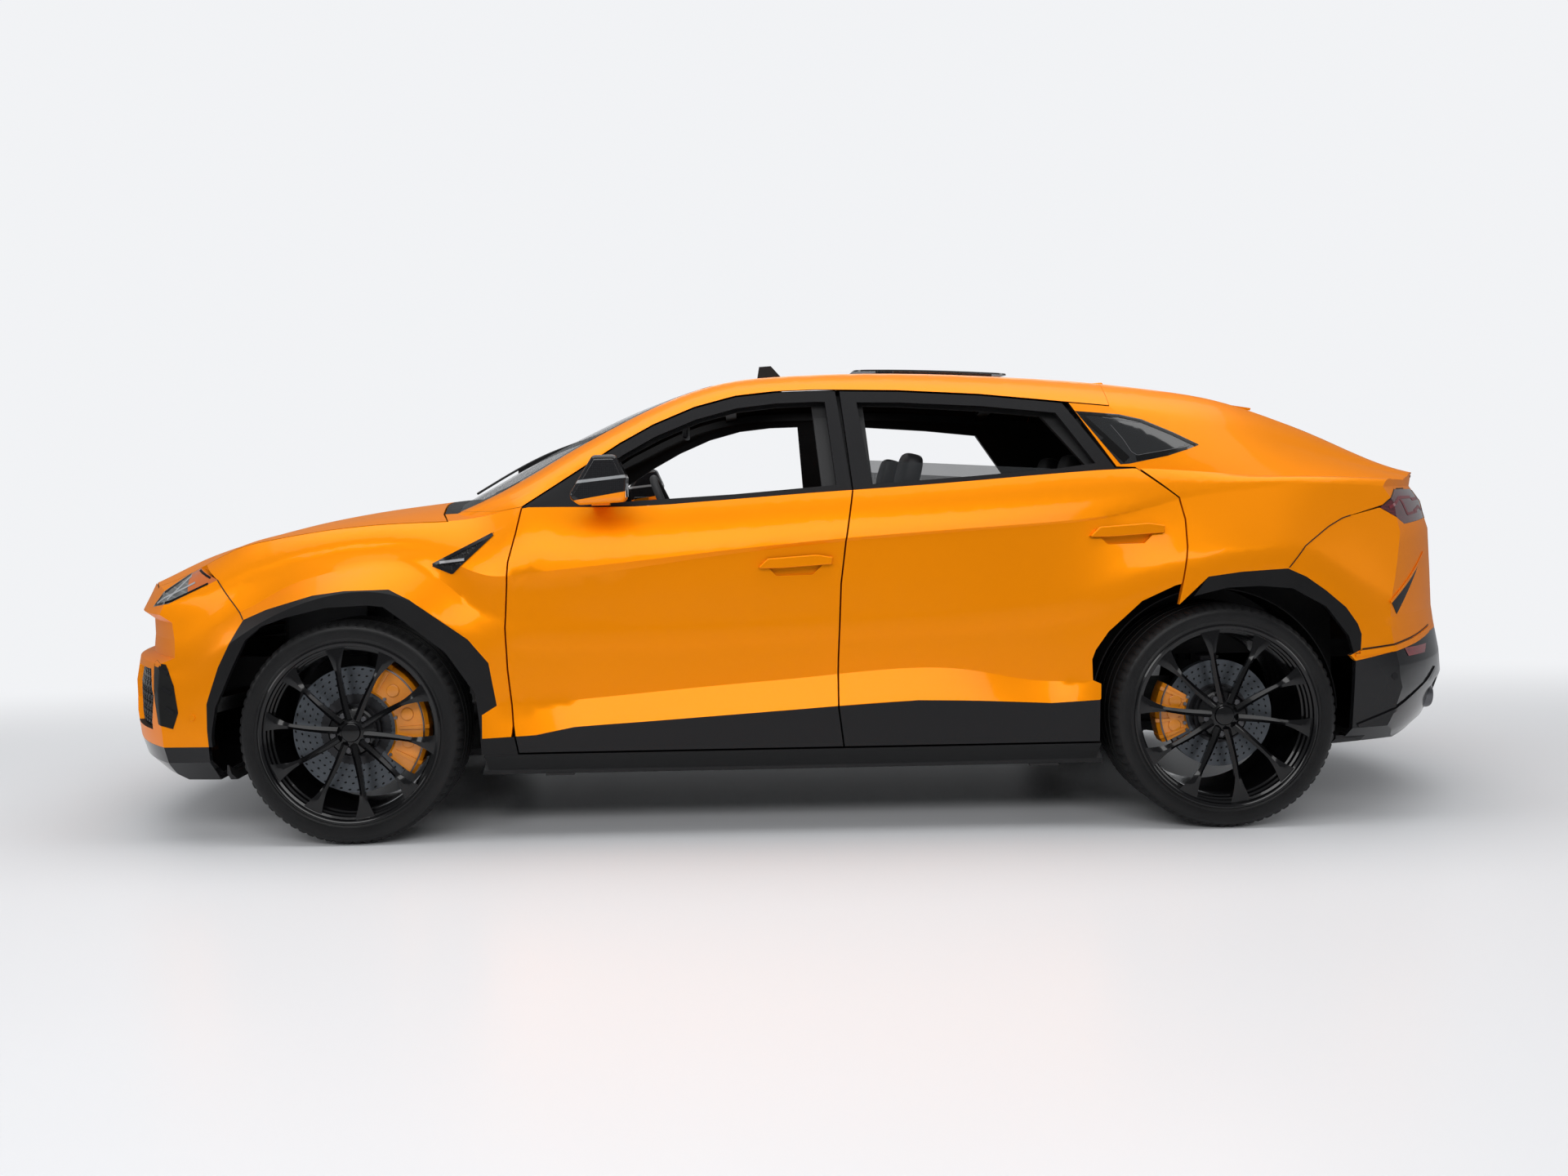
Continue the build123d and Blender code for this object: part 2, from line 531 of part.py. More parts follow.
def front_bumper(shell, gap):
    bumper = shell & across(front_bumper_outline())
    bumper = bumper - plan_prism(bonnet_outline(-gap), 500, 1500)
    for lamp in both_sides(left_prism(grown(HEADLAMP, SEAM))):
        bumper = bumper - lamp
    for opening in front_openings():
        bumper = bumper - opening
    mouth_x, tow_y, tow_z = TOW_EYE
    return largest(bumper - Pos(mouth_x, tow_y, tow_z) * Rot(0, 90, 0) * Cylinder(TOW_EYE_RADIUS + 12, 120))


def front_grille():
    """Dark mesh carriers behind the openings of the front bumper."""
    backing = (end_caps(SKIN + SEAM) - end_caps(SKIN + GRILLE_THICKNESS)) & lower_skin(SKIN + SEAM)
    upper = backing & block(-2700, -2250, -700, 700, 640, 785)
    lower = backing & block(-2700, -2250, -508, 508, 370, 630)
    side = backing & block(-2700, -2100, -930, -575, 380, 630)
    return [largest(upper), largest(lower)] + both_sides(largest(side))


def headlights(shell, gap):
    lamp = (shell & left_prism(HEADLAMP)) - plan_prism(bonnet_outline(-gap), 500, 1500)
    return both_sides(largest(lamp))


def front_splitter(shell):
    front_edge = FRONT_ARCH_LIP[0][0] - 14
    return largest(shell & block(-2700, front_edge, -1000, 1000, 190, SPLITTER_TOP_Z))


def body_cladding(shell, door_shell):
    """Dark trim round the wheel arches, and the sills under the doors, on the left side."""
    edge = grown(FRONT_ARCH_EDGE, -SEAM / 2, axle(True))
    shut = upright(FRONT_SHUT, SKIRT_TOP_Z + SEAM, dx=-PANEL_GAP / 2)
    sill_x = shut_x(FRONT_SHUT, 361) - PANEL_GAP / 2
    foot = [(-1098, 358), (sill_x, 361), shut[0], (-1104, SKIRT_TOP_Z + SEAM)]
    front = shell & left_prism([(edge[0][0], SPLITTER_TOP_Z + SEAM)] + edge + foot)
    front = front - arch_opening(True)
    edge = grown(REAR_ARCH_EDGE[8:], -SEAM / 2, axle(False))
    rear = shell & left_prism([(ARCH_SPLIT_X + PANEL_GAP / 2, 750)] + edge)
    rear = rear & block(ARCH_SPLIT_X + PANEL_GAP / 2, 2100, -1100, -600, 500, 1000)
    rear = rear - arch_opening(False)
    skirt = door_shell & block(-1095, 1027, -1000, -SILL_OUTER_Y - SEAM, 200, SKIRT_TOP_Z)
    return [largest(piece) for piece in (front, rear, skirt)]


def quarter_outline(gap):
    """Body side behind the rear door, with the rear pillar up to the roof."""
    seam = shifted(QUARTER_SEAM, dz=SEAM / 2)
    arch = grown(REAR_ARCH_EDGE[7:12], SEAM / 2, axle(False))
    shut = shifted(REAR_SHUT, dx=gap)
    belt = [(1190 + gap / 2, 1243 + gap), (1122 + gap, 1246 + gap)]
    window = shifted(between(WINDOW_LINE, DIVIDER_TOP[0] + 8, ROOF_SEAM_X), dx=gap / 3)
    lamp = [(2040, 1096), (2120, 1149 + SEAM), (2640, 1149 + SEAM)]
    return shut + belt + window + [(ROOF_SEAM_X, 1700), (2640, 1700)] + lamp[::-1] + seam[::-1] + arch[:0:-1]


def roof_side_outline(gap):
    foot = [(-1300, 1136 + SEAM), (-1050, 1136 + SEAM), (-961 - gap, 1151 + SEAM)]
    line = shifted(between(WINDOW_LINE, -955, ROOF_SEAM_X - SEAM), dz=1.5 * gap)
    return foot + line + [(ROOF_SEAM_X - SEAM, 1700), (-1300, 1700)]


def roof_centre_strip():
    return block(-500, ROOF_REAR_X, -ROOF_STRIP_HALF, ROOF_STRIP_HALF, 1300, 1800)


def quarter_panels(shell, gap):
    panel = (shell & left_prism(quarter_outline(gap))) - plan_prism(boot_outline(-gap), 500, 1800)
    panel = panel - block(-500, ROOF_REAR_X, -ROOF_STRIP_HALF - SEAM, 0, 1300, 1800)
    panel = panel - left_prism(grown(QUARTER_WINDOW, SEAM))
    return both_sides(largest(panel))


def quarter_windows(glass_shell):
    return both_sides(largest(glass_shell & left_prism(QUARTER_WINDOW)))


def windscreen_outline(inset):
    xs = [-1290, -1200, -1080, -950, -800, -650, -500, -400, -320, WINDSCREEN_TOP_X - inset]
    side = [(x, follow(ROOF_EDGE.width, x) - WINDSCREEN_SIDE - inset) for x in xs]
    return side + [(x, -y) for x, y in reversed(side)]


def rear_window_outline(inset):
    xs = [1735 + inset, 1850, 2000, 2120, 2205 - inset]
    side = [(x, follow(ROOF_EDGE.width, x) - 48 - inset) for x in xs]
    return side + [(x, -y) for x, y in reversed(side)]


def rounded_opening(x0, x1, half_width, radius, z0=1400, z1=1800):
    """A vertical prism over a rectangle with round corners, centred on the car."""
    sketch = Pos((x0 + x1) / 2, 0, z0) * RectangleRounded(x1 - x0, 2 * half_width, radius)
    return extrude(sketch, amount=z1 - z0)


def roof_panel(upper_shell, gap):
    """Roof with both windscreen pillars, round the windscreen and the open sunroof."""
    sides = upper_shell & across(roof_side_outline(gap))
    strip = upper_shell & block(-500, ROOF_REAR_X - gap, -ROOF_STRIP_HALF, ROOF_STRIP_HALF, 1300, 1800)
    roof = (sides + strip) - plan_prism(windscreen_outline(0), 900, 1800)
    roof = roof - rounded_opening(*SUNROOF_X, SUNROOF_HALF, 60)
    return largest(roof - lower_skin(-SEAM))


def windscreen(glass_shell):
    glass = glass_shell & plan_prism(windscreen_outline(SEAM), 900, 1800)
    return largest(glass - lower_skin(0))


def sunroof_glass():
    """The sunroof panel, slid back over the roof on its two runners."""
    raised = upper_skin(-SUNROOF_LIFT - GLASS) - upper_skin(-SUNROOF_LIFT)
    panel = raised & rounded_opening(*SUNROOF_PANEL_X, SUNROOF_HALF + 6, 60)
    runner_layer = upper_skin(-SUNROOF_LIFT - 1) - upper_skin(-SEAM)
    x0, x1 = SUNROOF_PANEL_X
    for side in (-1, 1):
        centre = side * (SUNROOF_HALF - 30)
        panel = panel + (runner_layer & block(x0 + 150, x1 - 60, centre - 9, centre + 9, 1400, 1800))
    return largest(panel)


def wind_deflector():
    blade = (upper_skin(-DEFLECTOR_HEIGHT) - upper_skin(-SEAM)) & side_prism(
        [(-138, 1550), (-112, 1700), (-98, 1700), (-28, 1620), (-40, 1550)], -SUNROOF_HALF, SUNROOF_HALF)
    return largest(blade)


def roof_height(x, y):
    """Height of the greenhouse's skin over a point of the plan."""
    width, edge = ROOF_EDGE.at(x)
    return edge + (follow(TOP_CENTRE, x) - edge) * (1 - (y / width) ** 2)


def roof_spoiler():
    """A lip that carries the roof line on over the rear window's head."""
    front, rear = SPOILER_X
    sections = []
    for i in range(9):
        y = SPOILER_HALF * (i / 4 - 1)
        taper = 1 - 0.35 * (y / SPOILER_HALF) ** 4
        tip = roof_height(rear, y) + SPOILER_RISE * taper
        sections.append(Wire.make_polygon([(front, y, roof_height(front, y) - 7), (rear, y, tip),
                                           (rear - 3, y, tip - 9), (rear - 50, y, roof_height(rear - 50, y) - 7)],
                                          close=True))
    return Solid.make_loft(sections, ruled=True)


def tailgate(shell, gap):
    gate = shell & plan_prism(boot_outline(gap), TAILGATE_FOOT_Z, 1800)
    gate = gate + roof_spoiler()
    gate = gate - plan_prism(rear_window_outline(0), 1150, 1800)
    return largest(gate)


def rear_window(glass_shell):
    return largest(glass_shell & plan_prism(rear_window_outline(SEAM), 1180, 1800))


def rear_bumper_outline():
    seam = shifted(QUARTER_SEAM[:-1], dz=-SEAM / 2)
    arch = grown(REAR_ARCH_EDGE[11:], SEAM / 2, axle(False))
    lamp = [(2027, 1086), (2132, 1027 - SEAM), (2640, 1062 - SEAM)]
    return seam + lamp + shifted(DIFFUSER_LINE[::-1], dz=SEAM) + arch[::-1]


def rear_bumper(shell, gap):
    bumper = shell & across(rear_bumper_outline())
    return largest(bumper - plan_prism(boot_outline(-gap), TAILGATE_FOOT_Z - 2 * gap, 1800))


def tail_lights(shell, gap):
    lamp = shell & left_prism(TAIL_LAMP)
    return both_sides(largest(lamp - plan_prism(boot_outline(-gap), 500, 1800)))


def exhaust_places():
    """(y, x of the open end) for the four tail pipes."""
    return [(side * y, x) for side in (-1, 1) for y, x in ((EXHAUST_Y - 60, 2448), (EXHAUST_Y + 60, 2405))]


def pipe(y, end_x, radius, length):
    return Pos(end_x - length / 2, y, EXHAUST_Z) * Rot(0, 90, 0) * Cylinder(radius, length)


def exhaust_tips():
    return [pipe(y, x, EXHAUST_RADIUS, 200) - pipe(y, x, EXHAUST_RADIUS - 6, 400) for y, x in exhaust_places()]


def rear_diffuser(shell):
    step = [(DIFFUSER_FRONT_X, TRAY_TOP_Z + SEAM), (DIFFUSER_FRONT_X, 200), (2640, 200)]
    diffuser = shell & across([(DIFFUSER_LINE[0][0], TRAY_TOP_Z + SEAM)] + step + DIFFUSER_LINE[::-1])
    for y, x in exhaust_places():
        diffuser = diffuser - pipe(y, x + 100, EXHAUST_RADIUS + SEAM, 400)
    return largest(diffuser)


# ---------------------------------------------------------------- doors
def door_body_outline():
    """The painted part of a door, between the dark lower trim and the window line."""
    sill = [(x, z + SEAM / 2) for x, z in between(SILL_LINE, -1060, 1060)]
    return sill + [(1400, 451), (1400, 1300)] + belt_line(-1060, 1300)[::-1]


HANDLE = [(-130, -13), (-93, 21), (74, 31), (130, 22), (126, -3), (-46, -13)]
HANDLE_CUP = [(-106, 4), (-64, -40), (60, -38), (110, 8), (72, 24), (-76, 16)]
HANDLE_FOOT = [(-112, -10), (-92, 14), (-80, 14), (-80, -10)]
FRONT_HANDLE_PLACE = (-14, 935, -956)           # x, z and the skin's y
REAR_HANDLE_PLACE = (1125, 1020, -959)


def with_handle(panel, x, z, skin_y):
    """The door panel with its pull: a bar on two feet in front of a cup."""
    cup = side_prism(shifted(HANDLE_CUP, x, z), skin_y - 30, skin_y + 16)
    bar = softened(side_prism(shifted(HANDLE, x, z), skin_y - 19, skin_y - 7), 4)
    front_foot = side_prism(shifted(HANDLE_FOOT, x - 14, z), skin_y - 10, skin_y + 12)
    rear_foot = side_prism(shifted(HANDLE_FOOT, x + 210, z + 8), skin_y - 10, skin_y + 12)
    return largest(panel - cup + bar + front_foot + rear_foot)


def door_pair(door_shell, outline, window, rear):
    """One left door's painted panel, and its dark frame and lower trim."""
    whole = door_shell & left_prism(outline)
    body = whole & left_prism(door_body_outline())
    frame_region = [(x, z + SEAM) for x, z in belt_line(-1060, 1300)] + [(1300, 1700), (-1060, 1700)]
    frame = (whole & left_prism(frame_region)) - left_prism(window)
    low = [(x, z - SEAM / 2) for x, z in between(SILL_LINE, -1060, 1060)] + [(1060, LOW), (-1060, LOW)]
    trim = [largest(frame)]
    lower_trim = whole & left_prism(low)
    if rear:
        edge = REAR_ARCH_EDGE[:9]
        inside = [(ARCH_SPLIT_X, 840), (ARCH_SPLIT_X, 452)]
        body = body - left_prism(grown(edge, SEAM / 2, axle(False)) + inside)
        arch = (whole & left_prism(grown(edge, -SEAM / 2, axle(False)) + inside)) - arch_opening(False)
        lower_trim = (lower_trim - arch_opening(False)) + arch
    trim.append(largest(lower_trim))
    place = REAR_HANDLE_PLACE if rear else FRONT_HANDLE_PLACE
    return [with_handle(largest(body), *place)], trim


MIRROR = [(-775, 1180), (-690, 1319), (-612, 1319), (-578, 1242), (-582, 1160), (-738, 1152)]


def door_mirror():
    """Left door mirror: a rounded housing on a short foot at the window corner."""
    housing = softened(side_prism(MIRROR, -1087, -950), 20)
    foot = softened(block(-712, -642, -975, -870, 1160, 1186), 6)
    foot = foot + block(-712, -650, -925, -870, 1149, 1172)
    return largest((housing + foot) - upper_skin(-SEAM) - lower_skin(-SEAM))


def rear_door_glass():
    """The lowered rear window: only its top edge stands above the door."""
    pane = upper_skin(14) - upper_skin(19)
    wedge = [(200, 1100), (200, 1292), (291, 1287), (890, 1247), (1060, 1190), (1060, 1100)]
    return largest(pane & left_prism(grown(REAR_WINDOW, -SEAM)) & left_prism(wedge))


# ---------------------------------------------------------------- structure under the panels
def floor_pan(shell):
    """Undertray, sills, tunnel, rear wheelhouse walls and boot floor as one pressing."""
    tray = shell & block(-2010, DIFFUSER_FRONT_X - SEAM, -SILL_OUTER_Y, SILL_OUTER_Y, 150, TRAY_TOP_Z)
    sill = block(-1040, 1000, SILL_INNER_Y, SILL_OUTER_Y, FLOOR_Z, SILL_TOP_Z)
    pan = tray + sill + mirrored(sill)
    pan = pan + block(-1044, 530, -150, 150, FLOOR_Z - 8, TUNNEL_TOP_Z)
    pan = pan + block(-330, -285, -SILL_INNER_Y - 5, SILL_INNER_Y + 5, FLOOR_Z - 8, 300)
    pan = pan + block(520, 1000, -SILL_INNER_Y - 5, SILL_INNER_Y + 5, FLOOR_Z - 8, 330)
    pan = pan + block(985, 1012, -SILL_INNER_Y, SILL_INNER_Y, FLOOR_Z - 8, BOOT_FLOOR_Z)
    pan = pan + block(1000, 2318, -600, 600, BOOT_FLOOR_Z - 25, BOOT_FLOOR_Z)
    wall = block(1000, 1960, 595, 622, FLOOR_Z, 900)
    pan = pan + wall + mirrored(wall) - block(REAR_AXLE_X - 300, REAR_AXLE_X + 300, -700, 700, 150, 560)
    for y in (-820, 820):
        for x in (-850, 850):
            pan = pan + block(x - 50, x + 50, y - 30, y + 30, JACKING_PAD_Z, FLOOR_Z + 6)
    for house in (wheelhouse(True, FRONT_HOUSE_RADIUS, FRONT_HOUSE_Y), wheelhouse(False, REAR_HOUSE_RADIUS,
                                                                                REAR_HOUSE_Y)):
        pan = pan - house - mirrored(house)
    return largest(pan)


FRONT_OPENING = [(-925, 380), (-940, 640), (-930, 900), (-893, 1100), (-742, 1230), (-600, 1318), (-480, 1382),
                 (-340, 1440), (-200, 1476), (-60, 1490), (66, 1492), (92, 1190), (70, 1000), (48, 700), (44, 380)]
REAR_OPENING = [(215, 380), (220, 700), (245, 1000), (272, 1190), (250, 1489), (375, 1484), (660, 1462),
                (890, 1436), (1040, 1240), (1190, 1120), (1200, 1000), (1150, 880), (1030, 780), (960, 640),
                (940, 380)]


def striker(x0, x1, z0, z1, depth):
    """A pad on the body that the closed door just clears."""
    layer = lower_skin(DOOR_THICKNESS + SEAM) - lower_skin(DOOR_THICKNESS + depth)
    return layer & block(x0, x1, -1000, -700, z0, z1)


def body_side(frame_shell):
    """Left pillars and roof rail round the door openings: a front arc, a rear arc and the middle pillar."""
    rail = [(-930, 1215), (-798, 1300), (-621, 1412), (-503, 1476), (-356, 1536), (-209, 1570), (83, 1585),
            (666, 1560), (1161, 1500), (1400, 1420), (1500, 1340)]
    foot = SILL_TOP_Z + SEAM
    region = [(-1045, foot), (-1045, 1090)] + rail + [(1470, 1230), (1440, 880), (1240, 820), (1060, 700),
                                                      (1000, 560), (1000, foot)]
    ring = frame_shell & side_prism(region, -1150, -BODY_SIDE_Y)
    ring = ring - left_prism(FRONT_OPENING) - left_prism(REAR_OPENING) - wheelhouse(False, REAR_HOUSE_RADIUS, 560)
    hinge_pillar = (lower_skin(SKIN + SEAM) - lower_skin(125)) & block(-1085, -1045, -1000, -BULKHEAD_HALF - SEAM,
                                                                       300, 1070)
    rear_mount = (lower_skin(SKIN + SEAM) - lower_skin(110)) & block(1352, 1400, -1000, -600, 930, 1180)
    ring = ring + hinge_pillar + rear_mount + striker(86, 118, 690, 760, 40) + striker(1215, 1262, 990, 1050, 40)
    head = MIDDLE_PILLAR_HEAD_Z
    pillar = ring & block(0, 300, -1000, -600, 300, head)
    rest = ring - block(0, 300, -1000, -600, 300, head + SEAM)
    front_arc = rest & block(-1200, MIDDLE_TOP_X, -1000, -600, 300, 1700)
    rear_arc = rest & block(MIDDLE_TOP_X + SEAM, 1600, -1000, -600, 300, 1700)
    return [largest(front_arc), largest(pillar), largest(rear_arc)]


def front_beam():
    """Crash beam that carries the front bumper along its middle."""
    inset = SKIN + SEAM + GRILLE_THICKNESS
    layer = end_caps(inset) - end_caps(inset + 45)
    return layer & block(-2700, -2150, -760, 760, 500, 590)


def front_structure():
    """Bulkhead, front rails, strut towers with the bonnet's buffers, crash beam and towing socket."""
    frame = block(*BULKHEAD_X, -BULKHEAD_FOOT_HALF, BULKHEAD_FOOT_HALF, FLOOR_Z + SEAM, 1040)
    frame = frame + block(*BULKHEAD_X, -BULKHEAD_HALF, BULKHEAD_HALF, 310, 1040)
    axle_x = FRONT_AXLE_X
    tower = block(axle_x - 70, axle_x + 70, 438, 460, 580, STRUT_TOP_Z + 25)
    tower = tower + block(axle_x - 70, axle_x + 70, 438, 600, STRUT_TOP_Z, STRUT_TOP_Z + 25)
    tower = tower + (block(axle_x - 22, axle_x + 22, 545, 589, STRUT_TOP_Z, 1200) & lower_skin(SKIN + REST_GAP))
    rail = block(-2440, -1050, 380, 440, 490, 600)
    mouth_x, tow_y, tow_z = TOW_EYE
    socket = Pos(mouth_x + 45, tow_y, tow_z) * Rot(0, 90, 0) * Cylinder(TOW_EYE_RADIUS + 8, 90)
    socket_bore = Pos(mouth_x + TOW_EYE_DEPTH / 2, tow_y, tow_z) * Rot(0, 90, 0) * Cylinder(
        TOW_EYE_RADIUS, TOW_EYE_DEPTH)
    frame = frame + tower + mirrored(tower) + rail + mirrored(rail) + front_beam() + socket - socket_bore
    for house in both_sides(wheelhouse(True, FRONT_HOUSE_RADIUS, FRONT_HOUSE_Y)):
        frame = frame - house
    return largest(frame)


def rear_structure():
    """Rear rails under the boot floor, crash beam and the tailgate's latch post."""
    layer = end_caps(SKIN + SEAM) - end_caps(SKIN + SEAM + 45)
    beam = layer & (block(2318 + SEAM, 2700, -700, 700, 530, 600) + block(2318 + SEAM, 2700, -45, 45, 560, 850))
    rail = block(1900, 2350, 480, 560, 532, BOOT_FLOOR_Z - 25 - SEAM)
    return largest(beam + rail + mirrored(rail))


def roof_bows():
    """Three bows across the car under the roof."""
    layer = upper_skin(SKIN + SEAM) - upper_skin(60)
    half = BODY_SIDE_Y - SEAM
    return [largest(layer & block(x0, x1, -half, half, 1300, 1700))
            for x0, x1 in ((-262, -215), (880, 930), (1470, 1515))]


# ---------------------------------------------------------------- wheels, knuckles and suspension
HUB_FACE = 66                    # from the outer sidewall to the back of the spokes
SPINDLE = 35
SPOKES = 10
BALL_DROP = 110                  # lower ball joint under the axle
STRUT_TOP_Z = 870
STRUT_SEAT = 3.5                 # lets the leaning strut's flat end clear its seat
REAR_KINGPIN_Y = 740


def turned(profile, x, z, outer_y):
    """Solid of revolution about the left axle line; profile points are (radius, depth from outer_y)."""
    wire = Wire.make_polygon([(x + r, outer_y + d, z) for r, d in profile], close=True)
    return Solid.revolve(Face(wire), 360, Axis((x, outer_y, z), (0, 1, 0)))


def tyre(x, radius, width, outer_y):
    half = [(304, 11.3), (314.5, 11.3), (330, 3), (350, 0), (radius - 18, 5), (radius - 6, 18), (radius, 40)]
    profile = half + [(r, width - d) for r, d in reversed(half)]
    return turned(profile, x, radius, outer_y)


def spoke(angle, x, z, outer_y):
    """One spoke, narrow at the hub and forked wide at the rim."""
    hub_end = [(60, 13), (60, -13), (200, -9), (292, -30), (292, 30), (200, 9)]
    points = [(x + r, outer_y + 14, z + w) for r, w in hub_end]
    blade = Solid.extrude(Face(Wire.make_polygon(points, close=True)), Vector(0, 34, 0))
    return blade.rotate(Axis((x, outer_y, z), (0, 1, 0)), angle)


def wheel(x, radius, width, outer_y, disc_radius):
    """Alloy wheel with the brake disc behind its spokes."""
    z = radius
    barrel = [(303.6, 10.8), (314, 10.8), (314, 3), (306, 0), (298, 3), (291, 16), (286, 50), (286, width - 12),
              (303, width), (314, width - 2), (314, width - 10.8), (303.6, width - 10.8)]
    rim = turned(barrel, x, z, outer_y)
    rim = rim + turned([(0, 22), (34, 22), (40, 28), (84, 34), (84, HUB_FACE), (0, HUB_FACE)], x, z, outer_y)
    for i in range(SPOKES):
        rim = rim + spoke(i * 360 / SPOKES + 9, x, z, outer_y)
    disc = turned([(SPINDLE + 0.5, HUB_FACE + SEAM), (92, HUB_FACE + SEAM), (92, 92), (disc_radius, 92),
                   (disc_radius, 128), (84, 128), (84, 78), (SPINDLE + 0.5, 78)], x, z, outer_y)
    return [largest(rim), disc]


def caliper(x, z, outer_y, disc_radius, half_angle, towards_tail):
    """Brake caliper over the disc's edge."""
    sector = [(0, 0)] + [((disc_radius + 80) * cos(radians(a)), (disc_radius + 80) * sin(radians(a)))
                         for a in (-half_angle, -half_angle / 2, 0, half_angle / 2, half_angle)]
    sign = 1 if towards_tail else -1
    wedge = side_prism([(x + sign * u, z + w) for u, w in sector], outer_y + 50, outer_y + 200)
    outer = disc_radius + 36
    inner = disc_radius * 0.64
    body = turned([(inner, 74), (outer - 12, 74), (outer, 84), (outer, 150), (inner, 150)], x, z, outer_y)
    slot = turned([(inner - 5, 87), (disc_radius + 8, 87), (disc_radius + 8, 133), (inner - 5, 133)], x, z, outer_y)
    return largest((body - slot) & wedge)


def knuckle(x, z, outer_y, kingpin_y, disc_radius, towards_tail):
    """Upright with its spindle, and the bracket behind the brake caliper."""
    sign = 1 if towards_tail else -1
    spindle = cross_cylinder(x, z, SPINDLE, outer_y + HUB_FACE + 2 * SEAM, outer_y + 160)
    carrier = cross_cylinder(x, z, 74, outer_y + 140, outer_y + 200)
    upright = block(x - 32, x + 32, outer_y + 172, -kingpin_y + 34, z - BALL_DROP, z + 190)
    reach = disc_radius * 0.64
    bracket = block(x, x + sign * (reach + 30), outer_y + 150 + SEAM, outer_y + 180, z - 40, z + 40)
    return largest(spindle + carrier + upright + bracket)


def lower_arm(x, z, kingpin_y, inner_y, clearance=SEAM):
    """Wishbone from the subframe to the foot of the upright, at the left."""
    plan = [(x - 34, -kingpin_y - 26), (x + 34, -kingpin_y - 26), (x + 40, -inner_y - 150),
            (x + 170, -inner_y), (x - 170, -inner_y), (x - 40, -inner_y - 150)]
    top = z - BALL_DROP - clearance
    return plan_prism(plan, top - 34, top)


def strut(x, z, foot_y, top_y, top_z):
    """Spring and damper from the lower arm to the body."""
    foot = Vector(x, -foot_y, z - BALL_DROP - SEAM - 20)
    head = Vector(x, -top_y, top_z)
    line = head - foot
    plane = Plane(origin=foot, z_dir=line)
    damper = plane * Pos(0, 0, line.length / 2) * Cylinder(22, line.length)
    spring = plane * Pos(0, 0, line.length * 0.6) * Cylinder(48, line.length * 0.5)
    return damper + spring


def front_suspension():
    """Front subframe with both wishbones and struts."""
    x, z = axle(True)
    frame = block(x - 190, x + 190, -360, 360, FLOOR_Z + SEAM, SUBFRAME_TOP_Z)
    side = lower_arm(x, z, KINGPIN_Y, 340) + strut(x, z, 570, 530, STRUT_TOP_Z - STRUT_SEAT)
    return largest(frame + side + mirrored(side))


def rear_suspension():
    """Rear subframe with its wishbones, struts and uprights."""
    x, z = axle(False)
    frame = block(x - 220, x + 220, -380, 380, 262, 350)
    side = lower_arm(x, z, REAR_KINGPIN_Y, 370, clearance=-10) + strut(x, z, 540, 500, BOOT_FLOOR_Z - 25 - STRUT_SEAT)
    outer_y = -REAR_WHEEL_FACE_Y
    upright = knuckle(x, z, outer_y, REAR_KINGPIN_Y, REAR_DISC_RADIUS, False)
    return largest(frame + side + mirrored(side) + upright + mirrored(upright))


# ---------------------------------------------------------------- cabin
def seat_back(y, width, x_foot, x_head, z_foot, z_head, depth, radius):
    """A leaning back rest with a head rest above it."""
    lean = [(x_foot, z_foot), (x_foot + depth, z_foot - 10), (x_head + depth * 0.72, z_head), (x_head, z_head)]
    back = softened(side_prism(lean, y - width / 2, y + width / 2), radius)
    rest = softened(block(x_head + 2, x_head + 92, y - 130, y + 130, z_head + 40, z_head + 190), 34)
    post = block(x_head + 30, x_head + 50, y - 70, y + 70, z_head - 30, z_head + 70)
    return back + rest + post


def front_seats():
    seat_y = 385
    base = block(-250, 210, seat_y - 200, seat_y + 200, FLOOR_Z + SEAM, 430)
    cushion = softened(block(-300, 250, seat_y - 225, seat_y + 255, 403, 560), 45)
    back = seat_back(seat_y, 500, 165, 345, 470, 1185, 150, 40)
    return both_sides(largest(base + cushion + back))


def rear_seat():
    cushion = softened(block(560, 1010, -640, 640, 330.4, 590), 45)
    back = softened(side_prism([(900, 560), (1040, 610), (1180, 1170), (1080, 1170)], -590, 590), 28)
    seat = cushion + back
    for y in (-380, 0, 380):
        seat = seat + softened(block(1090, 1170, y - 120, y + 120, 1200, 1340), 30)
        seat = seat + block(1115, 1135, y - 60, y + 60, 1150, 1230)
    return largest(seat - block(980, 1070, -800, 800, 200, BOOT_FLOOR_Z + SEAM))


COLUMN_Y = -385
STEERING_CENTRE = (-470, COLUMN_Y, 1075)
COLUMN_TILT = 24
COLUMN_GAP = 26                  # from the steering wheel's plane to the end of the column
STEERING_WHEEL_RADIUS = 182


def column_plane():
    """At the steering wheel's centre, with Z along the column towards the driver."""
    return Plane(origin=STEERING_CENTRE, x_dir=(0, 1, 0),
                 z_dir=(cos(radians(COLUMN_TILT)), 0, sin(radians(COLUMN_TILT))))


DASH_BACK_X = BULKHEAD_X[1] + SEAM


def dashboard():
    outline = [(DASH_BACK_X, 700), (DASH_BACK_X, 1085), (-900, 1118), (-700, 1112), (-610, 1080), (-585, 1000), (-640, 900),
               (-700, 760), (-860, 690)]
    body = softened(side_prism(outline, -745, 745), 14)
    console = softened(block(-760, 180, -110, 110, TUNNEL_TOP_Z + SEAM, 640), 22)
    stack = softened(block(-860, -670, -110, 110, TUNNEL_TOP_Z + SEAM, 800), 22)
    cowl = softened(block(-800, -580, COLUMN_Y - 190, COLUMN_Y + 190, 1060, 1140), 24)
    column = column_plane() * Pos(0, 0, -COLUMN_GAP - 120) * Cylinder(30, 240)
    return largest(body + console + stack + cowl + column)


